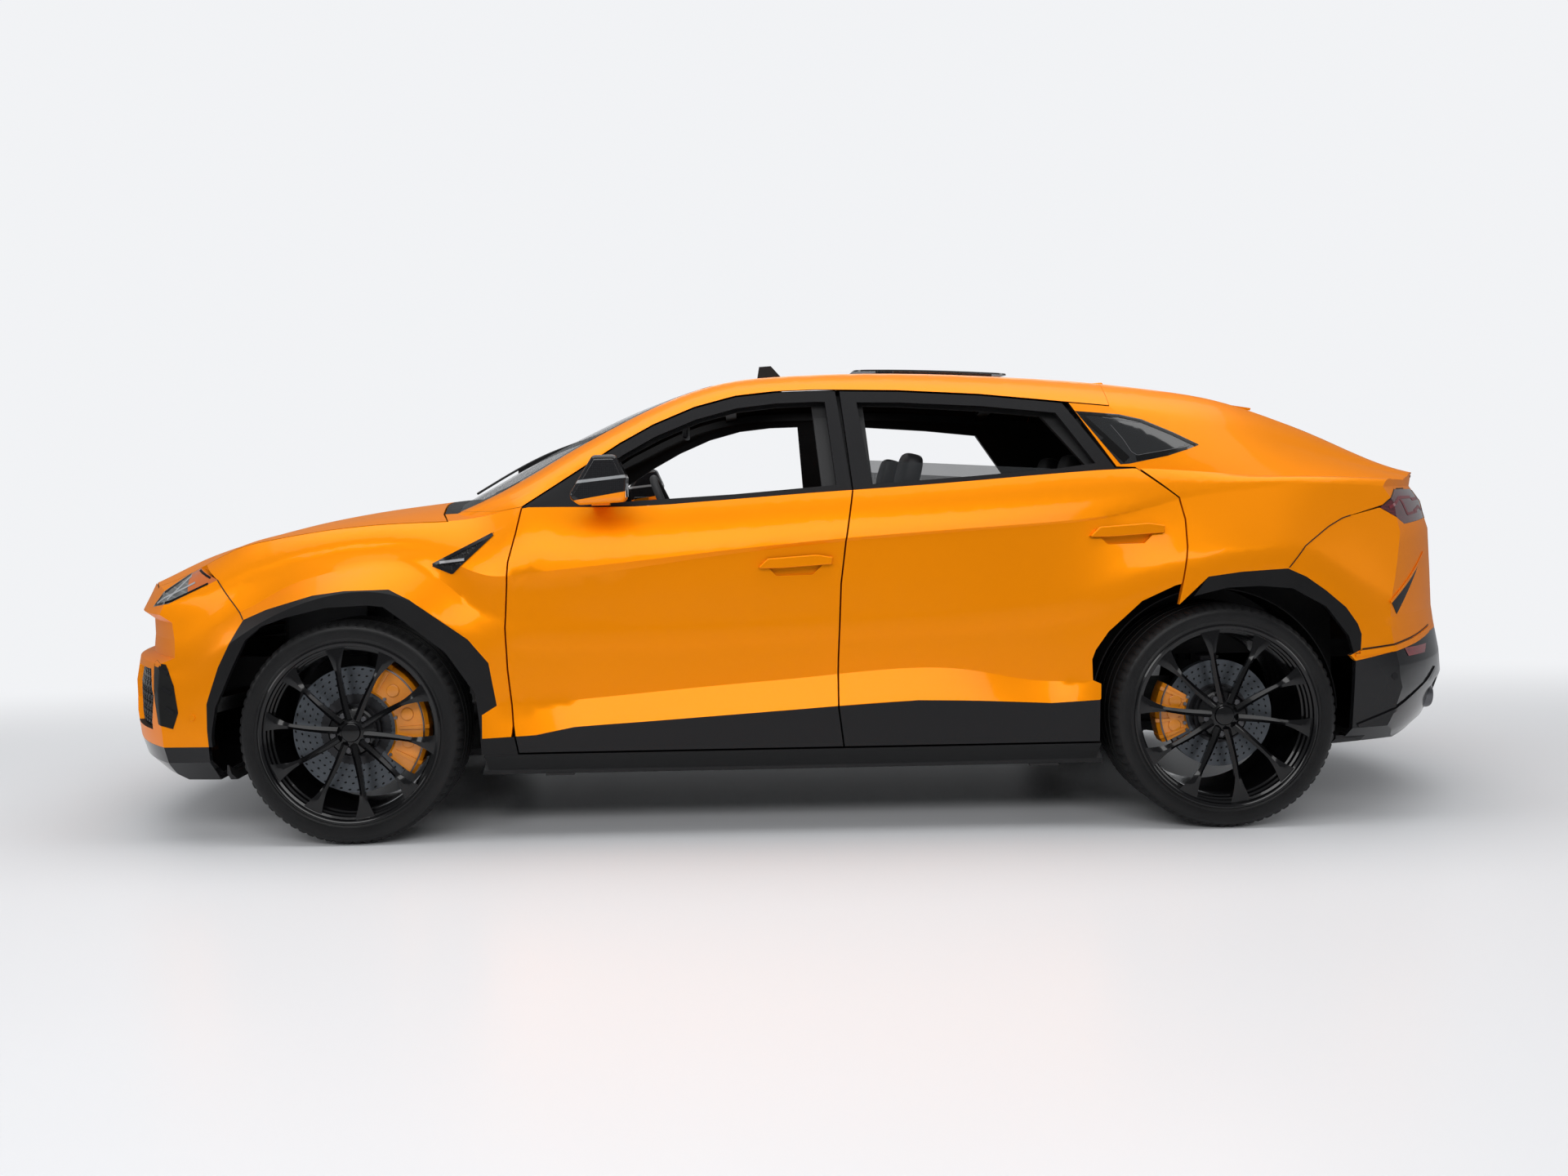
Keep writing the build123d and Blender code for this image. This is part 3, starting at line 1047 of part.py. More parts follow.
def steering_wheel():
    ring = Torus(STEERING_WHEEL_RADIUS, 15)
    hub = Pos(0, 0, -12) * Cylinder(62, 56)
    wheel_parts = ring + hub
    for angle in (0, 180, 270):
        wheel_parts = wheel_parts + Rot(0, 0, angle) * Pos(110, 0, -4) * Box(150, 34, 14)
    return column_plane() * Pos(0, 0, 40 - COLUMN_GAP + SEAM) * wheel_parts


def engine_block():
    return softened(block(-2000, -1330, -300, 300, SUBFRAME_TOP_Z + SEAM, 930), 30)


# ---------------------------------------------------------------- all the nodes
def wheel_corner(front):
    """Left wheel position: x, tyre radius, width, outer sidewall, disc radius."""
    x, radius = axle(front)
    if front:
        return x, radius, FRONT_TYRE_WIDTH, -FRONT_WHEEL_FACE_Y, FRONT_DISC_RADIUS
    return x, radius, REAR_TYRE_WIDTH, -REAR_WHEEL_FACE_Y, REAR_DISC_RADIUS


def left_and_right(nodes, name, pieces):
    """Adds one node a side from the left one's solids."""
    nodes[name + "_left"] = pieces
    nodes[name + "_right"] = [mirrored(piece) for piece in pieces]


def body_nodes(gap):
    whole = outer_volume(0)
    shell = whole - outer_volume(SKIN)
    upper_shell = upper_skin(0) - upper_skin(SKIN)
    glass_shell = upper_skin(0) - upper_skin(GLASS)
    door_shell = (whole & block(-1150, 1420, -1100, -560, 150, 1700)) - cabin_volume(DOOR_THICKNESS, FRAME_THICKNESS)
    frame_shell = cabin_volume(DOOR_THICKNESS + 9, FRAME_THICKNESS + 8) - cabin_volume(
        DOOR_THICKNESS + 9 + PILLAR_THICKNESS, FRAME_THICKNESS + 8 + PILLAR_THICKNESS)
    trims = body_cladding(shell, door_shell)
    side = body_side(frame_shell)
    nodes = {
        "floor_pan": [floor_pan(shell)],
        "body_frame": [front_structure(), rear_structure()] + roof_bows(),
        "front_fenders": front_fenders(shell, gap),
        "cowl_panel": [cowl_panel(shell, gap)],
        "bonnet": [bonnet(shell, gap + 1)],
        "front_bumper": [front_bumper(shell, gap)],
        "front_splitter": [front_splitter(shell)],
        "grilles": front_grille() + fender_vents(shell),
        "headlights": headlights(shell, gap),
        "quarter_panels": quarter_panels(shell, gap),
        "quarter_windows": quarter_windows(glass_shell),
        "roof_panel": [roof_panel(upper_shell, gap)],
        "windscreen": [windscreen(glass_shell)],
        "sunroof_glass": [sunroof_glass()],
        "wind_deflector": [wind_deflector()],
        "tailgate": [tailgate(shell, gap)],
        "rear_window": [rear_window(glass_shell)],
        "rear_bumper": [rear_bumper(shell, gap)],
        "rear_diffuser": [rear_diffuser(shell)],
        "tail_lights": tail_lights(shell, gap),
        "exhaust_tips": exhaust_tips(),
        "body_cladding": trims + [mirrored(piece) for piece in trims],
    }
    for name, outline, window in (("front_door", front_door_outline(gap), FRONT_WINDOW),
                                  ("rear_door", rear_door_outline(gap), REAR_WINDOW)):
        panel, trim = door_pair(door_shell, outline, window, name == "rear_door")
        left_and_right(nodes, name, panel)
        left_and_right(nodes, name + "_trim", trim)
    left_and_right(nodes, "body_side", side)
    left_and_right(nodes, "door_mirror", [door_mirror()])
    left_and_right(nodes, "rear_door_glass", [rear_door_glass()])
    return nodes


def running_gear_nodes():
    nodes = {"front_suspension": [front_suspension()], "rear_suspension": [rear_suspension()]}
    for end, front in (("front", True), ("rear", False)):
        x, radius, width, outer_y, disc_radius = wheel_corner(front)
        left_and_right(nodes, end + "_tyre", [tyre(x, radius, width, outer_y)])
        rim, disc = wheel(x, radius, width, outer_y, disc_radius)
        left_and_right(nodes, end + "_wheel", [rim])
        left_and_right(nodes, end + "_brake_disc", [disc])
    x, radius, width, outer_y, disc_radius = wheel_corner(True)
    left_and_right(nodes, "front_knuckle", [knuckle(x, radius, outer_y, KINGPIN_Y, disc_radius, True)])
    left_and_right(nodes, "front_caliper", [caliper(x, radius, outer_y, disc_radius, 38, True)])
    x, radius, width, outer_y, disc_radius = wheel_corner(False)
    nodes["rear_calipers"] = both_sides(caliper(x, radius, outer_y, disc_radius, 26, False))
    return nodes


def cabin_nodes():
    return {
        "front_seats": front_seats(),
        "rear_seat": [rear_seat()],
        "dashboard": [dashboard()],
        "steering_wheel": [steering_wheel()],
        "engine_block": [engine_block()],
    }


def main():
    os.makedirs("parts", exist_ok=True)
    nodes = body_nodes(PANEL_GAP / 2) | running_gear_nodes() | cabin_nodes()
    for name, solids in nodes.items():
        shape = solids[0] if len(solids) == 1 else Compound(children=list(solids))
        export_step(shape, f"parts/{name}.step")
    print(len(nodes), "nodes")


main()
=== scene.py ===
"""A fastback sport utility vehicle in orange pearl paint: its panels, wheels, lamps, grilles and cabin.

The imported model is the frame. Every panel is carried over from it with smooth shading. The pieces that it has
no room for, such as tread, spokes, mesh, seams, cushions, wipers and lamps, are modelled here around it.
"""

import json
from math import atan2, cos, hypot, pi, radians, sin

import bmesh
import bpy
from mathutils import Matrix, Vector
from mathutils.bvhtree import BVHTree


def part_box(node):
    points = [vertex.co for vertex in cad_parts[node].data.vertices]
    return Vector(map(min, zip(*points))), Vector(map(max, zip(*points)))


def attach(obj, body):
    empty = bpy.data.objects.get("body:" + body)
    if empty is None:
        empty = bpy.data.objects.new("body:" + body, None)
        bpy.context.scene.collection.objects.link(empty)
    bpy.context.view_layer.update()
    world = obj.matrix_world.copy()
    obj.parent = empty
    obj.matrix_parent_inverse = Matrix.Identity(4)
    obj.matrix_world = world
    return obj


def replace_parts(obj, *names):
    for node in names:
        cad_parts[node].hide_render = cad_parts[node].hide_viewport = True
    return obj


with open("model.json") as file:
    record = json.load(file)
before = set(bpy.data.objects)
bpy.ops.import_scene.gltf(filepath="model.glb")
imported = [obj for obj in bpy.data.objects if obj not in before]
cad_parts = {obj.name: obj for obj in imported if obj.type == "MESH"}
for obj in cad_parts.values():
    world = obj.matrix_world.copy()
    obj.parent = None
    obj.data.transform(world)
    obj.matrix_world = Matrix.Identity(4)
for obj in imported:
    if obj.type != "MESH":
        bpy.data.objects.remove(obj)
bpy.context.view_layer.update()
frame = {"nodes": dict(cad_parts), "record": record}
NODES = frame["nodes"]
BODIES = frame["record"]["behaviour"]["bodies"]
BODY_OF = {node: body for body, members in BODIES.items() for node in members}
SIDES = (("left", -1), ("right", 1))
ENDS = ("front", "rear")

bl_info = {
    "name": "Sport utility vehicle",
    "version": (1, 0, 0),
    "blender": (4, 5, 0),
    "location": "3D View > Sidebar > Vehicle",
    "description": "Finishes and details a sport utility vehicle around its frame",
    "category": "Object",
}


def axle_place(end):
    """An axle line's x and z and its tyres' radius."""
    low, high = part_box(f"{end}_tyre_left")
    return (low.x + high.x) / 2, (low.z + high.z) / 2, (high.z - low.z) / 2


def wheel_places():
    """Each wheel's end and side, its place as (x, z, outer face, direction inwards) and its tyre's radius."""
    for end in ENDS:
        x, z, radius = axle_place(end)
        for side, sign in SIDES:
            low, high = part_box(f"{end}_tyre_{side}")
            yield end, side, (x, z, low.y if sign < 0 else high.y, -sign), radius


# ---------------------------------------------------------------- sizes and colours that a user would change
def colour(name, description, default):
    return bpy.props.FloatVectorProperty(name=name, description=description, subtype="COLOR", size=3,
                                         default=default)


def length(name, description, default):
    return bpy.props.FloatProperty(name=name, description=description, unit="LENGTH", default=default)


class VehicleFinish(bpy.types.PropertyGroup):
    paint: colour("Paint", "Body colour", (0.95, 0.268, 0.001))
    cladding: colour("Cladding", "Wheel arch plastic", (0.006, 0.006, 0.0065))
    caliper: colour("Brake calipers", "Caliper enamel", (0.90, 0.29, 0.004))
    leather: colour("Leather", "Seats and dash top", (0.020, 0.020, 0.023))
    accent: colour("Accent leather", "Seat piping and inserts", (0.62, 0.15, 0.004))
    glass_tint: bpy.props.FloatProperty(
        name="Glass tint", description="How much the side glass hides", subtype="FACTOR", default=0.42,
        min=0, max=1)


class VehicleSizes(bpy.types.PropertyGroup):
    seam_width: length("Seam width", "Drawn width of the seams between fixed panels", 0.0035)
    mesh_cell: length("Mesh cell", "Radius of a grille's hexagon", 0.021)
    mesh_wire: length("Mesh wire", "Thickness of a grille's bars", 0.0045)
    tread_depth: length("Tread depth", "Depth of the tyre's grooves", 0.007)
    spokes: bpy.props.IntProperty(name="Spokes", description="Spokes in a wheel", default=10, min=5, max=20)


def finish_settings():
    return bpy.context.scene.vehicle_finish


def size_settings():
    return bpy.context.scene.vehicle_sizes


# ---------------------------------------------------------------- shader maths
class Value:
    """One socket of a shader, with the operators that shader maths needs."""

    def __init__(self, shader, socket):
        self.shader = shader
        self.socket = socket

    def maths(self, operation, *terms):
        return self.shader.node("ShaderNodeMath", {"operation": operation}, dict(enumerate(terms)))

    def __add__(self, other):
        return self.maths("ADD", self, other)

    __radd__ = __add__

    def __sub__(self, other):
        return self.maths("SUBTRACT", self, other)

    def __rsub__(self, other):
        return self.maths("SUBTRACT", other, self)

    def __mul__(self, other):
        return self.maths("MULTIPLY", self, other)

    __rmul__ = __mul__

    def __gt__(self, other):
        return self.maths("GREATER_THAN", self, other)

    def __lt__(self, other):
        return self.maths("LESS_THAN", self, other)

    def __mod__(self, other):
        return self.maths("FLOORED_MODULO", self, other)

    def __abs__(self):
        return self.maths("ABSOLUTE", self)


class Shader:
    """The node tree of a material or of the world, filled by calls."""

    def __init__(self, name, store="materials"):
        self.owner = getattr(bpy.data, store).new(name)
        self.owner.use_nodes = True
        self.tree = self.owner.node_tree
        self.tree.nodes.clear()

    def node(self, kind, settings=None, inputs=None, output=0):
        node = self.tree.nodes.new(kind)
        for key, setting in (settings or {}).items():
            setattr(node, key, setting)
        for key, value in (inputs or {}).items():
            if isinstance(value, Value):
                self.tree.links.new(value.socket, node.inputs[key])
            else:
                node.inputs[key].default_value = value
        return Value(self, node.outputs[output]) if node.outputs else None

    def coordinates(self, centre=(0, 0, 0)):
        """Object coordinates measured from a centre, as a vector and as x, y and z."""
        raw = self.node("ShaderNodeTexCoord", output="Object")
        place = self.node("ShaderNodeMapping", {}, {"Vector": raw, "Location": tuple(-c for c in centre)})
        parts = [self.node("ShaderNodeSeparateXYZ", inputs={0: place}, output=axis) for axis in range(3)]
        return place, parts

    def polar(self, x, z):
        """Distance from the Y axis and the turn round it."""
        reach = self.node("ShaderNodeMath", {"operation": "POWER"}, {0: x * x + z * z, 1: 0.5})
        return reach, self.node("ShaderNodeMath", {"operation": "ARCTAN2"}, {0: z, 1: x})

    def noise(self, place, scale, detail=2.0):
        return self.node("ShaderNodeTexNoise", {}, {"Vector": place, "Scale": scale, "Detail": detail})

    def cells(self, place, scale, feature="F1"):
        return self.node("ShaderNodeTexVoronoi", {"feature": feature}, {"Vector": place, "Scale": scale})

    def colours(self, factor, first, second):
        return self.node("ShaderNodeMix", {"data_type": "RGBA"},
                         {0: factor, 6: rgba(first), 7: rgba(second)}, output=2)

    def bump(self, height, distance, strength=1.0):
        return self.node("ShaderNodeBump", {}, {"Height": height, "Distance": distance, "Strength": strength})

    def surface(self, colour, roughness, **sockets):
        """Principled surface; the other sockets are given by name, with _ for a space."""
        inputs = {"Base Color": rgba(colour), "Roughness": roughness}
        for key, value in sockets.items():
            inputs[key.replace("_", " ")] = value
        shader = self.node("ShaderNodeBsdfPrincipled", {}, inputs)
        self.node("ShaderNodeOutputMaterial", {}, {"Surface": shader})
        return self.owner


def rgba(colour):
    return colour if isinstance(colour, Value) or len(colour) == 4 else (*colour, 1.0)


MADE = {}


def material(maker, *settings):
    """The material that a maker gives, made once for each set of settings."""
    key = (maker.__name__, *[tuple(s) if hasattr(s, "__len__") else s for s in settings])
    if key not in MADE:
        MADE[key] = maker(*settings)
    return MADE[key]


def darker(colour, share):
    return tuple(c * share for c in colour)


def pearl_paint(colour, lining):
    """Pearl paint with clear coat outside; the panel's cabin side shows its dark lining."""
    s = Shader("pearl_paint")
    place, (_, y, z) = s.coordinates()
    normal = s.node("ShaderNodeTexCoord", output="Normal")
    ny, nz = (s.node("ShaderNodeSeparateXYZ", inputs={0: normal}, output=axis) for axis in (1, 2))
    cabin_height = 0.75
    facing = ny * y + nz * (z - cabin_height)
    inside = facing < -0.12
    flakes = s.noise(place, 2600, 1)
    drift = s.noise(place, 1.3, 2)
    lighter = tuple(min(1, c * 1.08) for c in colour)
    flaked = s.colours(flakes * 0.55 + drift * 0.25, darker(colour, 0.85), lighter)
    shade = s.colours(inside, flaked, lining)
    weave = s.noise(place, 900, 2)
    height = s.noise(place, 60, 1) * 0.12 + flakes * 0.03 + inside * weave
    return s.surface(shade, inside * 0.45 + 0.34 + drift * 0.06, Metallic=(1 - inside) * 0.35,
                     Specular_Tint=(1.0, 0.42, 0.04, 1.0), Specular_IOR_Level=0.35,
                     Coat_Weight=(1 - inside) * 0.14, Coat_Roughness=0.05, Normal=s.bump(height, 0.0006, 0.3))


def body_paint():
    return material(pearl_paint, finish_settings().paint, finish_settings().leather)


def satin_plastic(colour):
    s = Shader("satin_plastic")
    place, _ = s.coordinates()
    cells = s.cells(place, 700)
    cloud = s.noise(place, 9, 3)
    shade = s.colours(cloud, darker(colour, 0.75), darker(colour, 1.35))
    height = cells * 0.7 + s.noise(place, 1500, 1) * 0.3
    return s.surface(shade, 0.34 + cloud * 0.16, Specular_IOR_Level=0.20,
                     Normal=s.bump(height, 0.0005, 0.5))


def gloss_plastic(colour):
    s = Shader("gloss_plastic")
    place, _ = s.coordinates()
    cloud = s.noise(place, 4, 3)
    shade = s.colours(cloud, darker(colour, 0.8), darker(colour, 1.3))
    return s.surface(shade, 0.10 + cloud * 0.07, Specular_IOR_Level=0.22, Coat_Weight=0.12,
                     Coat_Roughness=0.03, Normal=s.bump(s.noise(place, 35, 1), 0.0006, 0.12))


def frame_and_skirt(colour):
    """Satin on the window frame above the beltline, gloss on the skirt under the door."""
    s = Shader("frame_and_skirt")
    place, (_, _, z) = s.coordinates()
    beltline = 0.95
    upper = z > beltline
    cells = s.cells(place, 650)
    cloud = s.noise(place, 8, 3)
    shade = s.colours(upper * (0.75 + cloud * 0.25), colour, darker(colour, 1.1))
    return s.surface(shade, 0.10 + upper * 0.30 + cloud * 0.06, Specular_IOR_Level=0.14,
                     Coat_Weight=(1 - upper) * 0.12, Coat_Roughness=0.03,
                     Normal=s.bump(cells * upper, 0.0004, 0.5))


def mirror_shell(colour, paint):
    """Gloss black over a painted lower edge, with a thin light grey line painted between as a highlight."""
    s = Shader("mirror_shell")
    place, (x, _, z) = s.coordinates()
    middle, lower_edge, reflector = 0.70, 1.176, 1.234
    low = (z - (x + middle) * 0.16) < lower_edge
    weave = ((x * 220) % 1 > 0.5) * ((z * 220) % 1 > 0.5)
    # Painted highlight: a thin light grey line along the black shell stands for light caught along it.
    line = abs(z - (x + middle) * 0.10 - reflector) < 0.005
    black = s.colours(line, s.colours(weave, colour, darker(colour, 2.2)), (0.30, 0.31, 0.32))
    return s.surface(s.colours(low, black, paint), 0.14 + low * 0.15, Specular_IOR_Level=0.25,
                     Coat_Weight=0.30, Coat_Roughness=0.03,
                     Normal=s.bump(s.noise(place, 30, 1), 0.0005, 0.1))


def tinted_glass(colour, alpha):
    s = Shader("tinted_glass")
    place, _ = s.coordinates()
    dust = s.noise(place, 14, 4)
    return s.surface(colour, 0.02 + dust * 0.05, Alpha=alpha + dust * 0.03, Specular_IOR_Level=0.8,
                     Coat_Weight=0.5, Coat_Roughness=0.02)


def tyre_rubber(centre, radius):
    """Rubber with a serrated band, moulded lines on the sidewall and sipes across the tread."""
    s = Shader("tyre_rubber")
    place, (x, _, z) = s.coordinates(centre)
    reach, turn = s.polar(x, z)
    shoulder, serrations = radius - 0.016, radius - 0.047
    tread = reach > shoulder
    rib = abs((turn * 60) % 1 - 0.5) < 0.13
    band = (abs(reach - serrations) < 0.0075) * (abs((turn * 95) % 1 - 0.5) < 0.2)
    rings = abs((reach * 260) % 1 - 0.5) < 0.12
    height = (1 - tread) * (band * 0.5 + rings * 0.35) - tread * rib * 0.8 + s.noise(place, 420, 3) * 0.25
    worn = s.noise(place, 16, 3)
    shade = s.colours(worn, (0.004, 0.004, 0.0045), (0.009, 0.009, 0.0095))
    return s.surface(shade, 0.30 + worn * 0.12 + tread * 0.30, Specular_IOR_Level=0.25,
                     Normal=s.bump(height, 0.0016, 0.8))


def wheel_enamel(colour):
    s = Shader("wheel_enamel")
    place, _ = s.coordinates()
    cloud = s.noise(place, 12, 3)
    return s.surface(s.colours(cloud, darker(colour, 0.7), darker(colour, 1.4)), 0.13 + cloud * 0.08,
                     Specular_IOR_Level=0.20, Coat_Weight=0.30, Coat_Roughness=0.03,
                     Normal=s.bump(s.noise(place, 140, 1), 0.0003, 0.15))


def brake_iron(centre, radius):
    """Ground iron with rows of cross-drilled holes, painted near black as the shade inside them, and a darker
    hat.
    """
    s = Shader("brake_iron")
    _, (x, y, z) = s.coordinates(centre)
    reach, turn = s.polar(x, z)
    row = (reach * 45) % 1 - 0.5
    spiral = (turn * 7 + reach * 16) % 1 - 0.5
    shaded_hole = (row * row + spiral * spiral * 0.8) < 0.022
    swept = reach > radius * 0.56
    drilled = shaded_hole * swept
    scratch = s.noise(s.node("ShaderNodeCombineXYZ", inputs={0: reach * 900, 1: turn * 2, 2: y}), 1, 3)
    ground = s.colours(scratch, (0.050, 0.056, 0.064), (0.115, 0.127, 0.142))
    faced = s.colours(swept, (0.035, 0.035, 0.038), ground)
    # Painted shade: the drilled holes are coloured near black for the shade inside them, because the disc's
    # mesh has no openings.
    return s.surface(s.colours(drilled, faced, (0.01, 0.01, 0.01)), 0.34 + drilled * 0.4, Metallic=0.75,
                     Normal=s.bump(scratch * 0.12 - drilled, 0.0015, 0.6))


def caliper_enamel(colour):
    s = Shader("caliper_enamel")
    place, _ = s.coordinates()
    cast = s.noise(place, 160, 3)
    soot = s.noise(place, 11, 4)
    return s.surface(s.colours(soot, darker(colour, 0.55), darker(colour, 1.15)), 0.28 + soot * 0.2,
                     Coat_Weight=0.6, Coat_Roughness=0.1, Normal=s.bump(cast, 0.0006, 0.4))


def coated_steel(colour, roughness=0.5):
    s = Shader("coated_steel")
    place, _ = s.coordinates()
    cloud = s.noise(place, 7, 4)
    speck = s.noise(place, 240, 2)
    return s.surface(s.colours(cloud, darker(colour, 0.7), darker(colour, 1.3)), roughness + cloud * 0.15,
                     Metallic=0.3, Normal=s.bump(speck, 0.0006, 0.4))


def brushed_steel(colour):
    s = Shader("brushed_steel")
    place, (x, y, z) = s.coordinates()
    brush = s.noise(s.node("ShaderNodeCombineXYZ", inputs={0: x * 6, 1: y * 700, 2: z * 700}), 1, 3)
    soot = s.noise(place, 20, 3)
    return s.surface(s.colours(soot, darker(colour, 0.55), colour), 0.2 + brush * 0.2, Metallic=1.0,
                     Normal=s.bump(brush, 0.0002, 0.3))


def grained_leather(colour):
    s = Shader("grained_leather")
    place, _ = s.coordinates()
    grain = s.cells(place, 330, "DISTANCE_TO_EDGE")
    crease = s.noise(place, 26, 4)
    shade = s.colours(crease, darker(colour, 0.75), darker(colour, 1.4))
    return s.surface(shade, 0.44 + crease * 0.14, Sheen_Weight=0.1,
                     Normal=s.bump(grain * 0.8 + crease * 0.5, 0.0012, 0.5))


def woven_fabric(colour):
    s = Shader("woven_fabric")
    place, (x, y, z) = s.coordinates()
    warp = abs((x * 900 + z * 300) % 1 - 0.5)
    weft = abs((y * 900 + z * 500) % 1 - 0.5)
    fuzz = s.noise(place, 1200, 2)
    return s.surface(s.colours(fuzz, darker(colour, 0.7), darker(colour, 1.5)), 0.85 + fuzz * 0.1,
                     Sheen_Weight=0.25, Normal=s.bump(warp + weft, 0.0006, 0.6))


def lamp_lens(colour, amber):
    """Smoked lens over bright internals, with an amber corner at its rear."""
    s = Shader("lamp_lens")
    place, (x, y, z) = s.coordinates()
    side = abs(y)
    amber_edge = -1.83
    corner = (x + z * 0.35) > amber_edge
    fins = abs((z * 38 + x * 12) % 1 - 0.5) < 0.09
    facets = s.cells(place, 26)
    inner = s.colours(facets * 0.8 + fins * 0.5, darker(colour, 0.35), darker(colour, 1.25))
    shade = s.colours(corner, inner, amber)
    return s.surface(shade, 0.10 + side * 0.01, Coat_Weight=1.0, Coat_Roughness=0.02,
                     Normal=s.bump(facets * 0.6 + fins * 0.3, 0.002, 0.15))


def tail_lens(colour):
    s = Shader("tail_lens")
    place, (_, _, z) = s.coordinates()
    rows = abs((z * 90) % 1 - 0.5) < 0.16
    facets = s.cells(place, 60)
    return s.surface(s.colours(facets * 0.6 + rows * 0.3, darker(colour, 0.4), darker(colour, 1.5)), 0.12,
                     Coat_Weight=1.0, Coat_Roughness=0.02, Normal=s.bump(facets, 0.001, 0.1))


def light_strip(colour, strength):
    s = Shader("light_strip")
    place, _ = s.coordinates()
    beads = s.cells(place, 240)
    return s.surface(s.colours(beads, colour, darker(colour, 0.7)), 0.25, Emission_Color=rgba(colour),
                     Emission_Strength=strength)


def screen_glass(colour):
    s = Shader("screen_glass")
    place, (_, y, _) = s.coordinates()
    lines = abs((y * 24) % 1 - 0.5) < 0.03
    smear = s.noise(place, 18, 3)
    return s.surface(s.colours(lines, colour, darker(colour, 3)), 0.08 + smear * 0.1, Coat_Weight=1.0,
                     Coat_Roughness=0.02)


def silvered_glass():
    s = Shader("silvered_glass")
    place, _ = s.coordinates()
    smear = s.noise(place, 14, 3)
    return s.surface((0.78, 0.80, 0.82), 0.02 + smear * 0.05, Metallic=1.0)


def plate_board(colour):
    s = Shader("plate_board")
    place, _ = s.coordinates()
    cells = s.cells(place, 700)
    return s.surface(s.colours(cells, darker(colour, 0.9), colour), 0.35, Normal=s.bump(cells, 0.0003, 0.3))


def studio_floor(colour, seen):
    """Pale floor that shades under the vehicle and fades to the backdrop far away."""
    s = Shader("studio_floor")
    place, (x, y, _) = s.coordinates()
    fade_start, fade_end, middle = 2.3, 5.6, -1.5
    far = s.node("ShaderNodeMath", {"operation": "POWER"}, {
        0: x * x * 0.25 + (y - middle) * (y - middle), 1: 0.5})
    fade = s.node("ShaderNodeMapRange", {"interpolation_type": "SMOOTHSTEP"},
                  {0: far, 1: fade_start, 2: fade_end, 3: 0.0, 4: 1.0})
    cloud = s.noise(place, 0.5, 2)
    lit = s.node("ShaderNodeBsdfPrincipled", {}, {
        "Base Color": s.colours(cloud, darker(colour, 0.98), colour), "Roughness": 0.32,
        "Specular IOR Level": 0.35})
    glow = s.node("ShaderNodeEmission", {}, {"Color": rgba(seen), "Strength": 1.0})
    camera = s.node("ShaderNodeLightPath", output="Is Camera Ray")
    mixed = s.node("ShaderNodeMixShader", {}, {0: fade * camera, 1: lit, 2: glow})
    s.node("ShaderNodeOutputMaterial", {}, {"Surface": mixed})
    return s.owner


# ---------------------------------------------------------------- shapes
OUTSIDE = 1.5       # how far out from the middle a line starts before it is laid on the body's side
BEHIND = 3.2        # the same for lines that are laid on the tail
RAY_START = 3.0     # how far back a ray starts, clear of every piece
ALONG_Y = Matrix.Rotation(radians(90), 4, "X")


def place_piece(bm, name, body, finish, smooth=True, sharp=0.5):
    """Makes a finished object of a mesh, with its faces turned outwards and riding on a body."""
    bmesh.ops.recalc_face_normals(bm, faces=bm.faces)
    return keep_piece(bm, name, body, finish, smooth, sharp)


def keep_piece(bm, name, body, finish, smooth=True, sharp=0.5):
    """Makes a finished object of a mesh with its faces as they are, riding on a body."""
    for face in bm.faces:
        face.smooth = smooth
    for edge in bm.edges:
        if len(edge.link_faces) == 2 and edge.calc_face_angle(0) > sharp:
            edge.smooth = False
    piece = linked_object(name, bm)
    piece.data.materials.append(finish)
    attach(piece, body)
    return piece


def linked_object(name, bm):
    mesh = bpy.data.meshes.new(name)
    bm.to_mesh(mesh)
    bm.free()
    piece = bpy.data.objects.new(name, mesh)
    bpy.context.scene.collection.objects.link(piece)
    return piece


def merged_mesh(node):
    """A frame node's triangles with their doubles merged."""
    bm = bmesh.new()
    bm.from_mesh(NODES[node].data)
    bmesh.ops.remove_doubles(bm, verts=bm.verts, dist=1e-5)
    return bm


def carry_over(node, finish, sharp=0.42):
    """A smooth-shaded copy of a frame node stands for it."""
    piece = keep_piece(merged_mesh(node), node + "_finished", BODY_OF[node], finish, sharp=sharp)
    normals = piece.modifiers.new("weighted_normals", "WEIGHTED_NORMAL")
    normals.keep_sharp = True
    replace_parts(piece, node)
    return piece


def surface_of(*nodes):
    """The frame nodes' surface, for rays to meet."""
    bm = bmesh.new()
    for node in nodes:
        bm.from_mesh(NODES[node].data)
    tree = BVHTree.FromBMesh(bm)
    bm.free()
    return tree


def drop_onto(bm, surface, along, lift):
    """Moves each vertex along a direction until it lies just above the surface; misses are deleted."""
    direction = Vector(along).normalized()
    missed = []
    for vertex in bm.verts:
        hit = surface.ray_cast(vertex.co - direction * RAY_START, direction)
        if hit[0] is None:
            missed.append(vertex)
        else:
            vertex.co = hit[0] - direction * lift
    bmesh.ops.delete(bm, geom=missed, context="VERTS")


def along_path(points, share):
    """Point and direction at a share of a polyline's length."""
    spans = [(b - a).length for a, b in zip(points, points[1:])]
    goal = share * sum(spans)
    for a, b, span in zip(points, points[1:], spans):
        if goal <= span or b is points[-1]:
            return a.lerp(b, min(1.0, goal / span)), (b - a).normalized()
        goal -= span
    return points[-1], (points[-1] - points[-2]).normalized()


def strip(points, width, across, steps=40, rows=1):
    """A flat band along a polyline, spread along the cross product of its run and a direction."""
    path = [Vector(p) for p in points]
    bm = bmesh.new()
    bmesh.ops.create_grid(bm, x_segments=steps, y_segments=rows, size=0.5)
    for vertex in bm.verts:
        place, run = along_path(path, min(1.0, max(0.0, vertex.co.x + 0.5)))
        side = run.cross(Vector(across)).normalized()
        vertex.co = place + side * (vertex.co.y * width)
    return bm


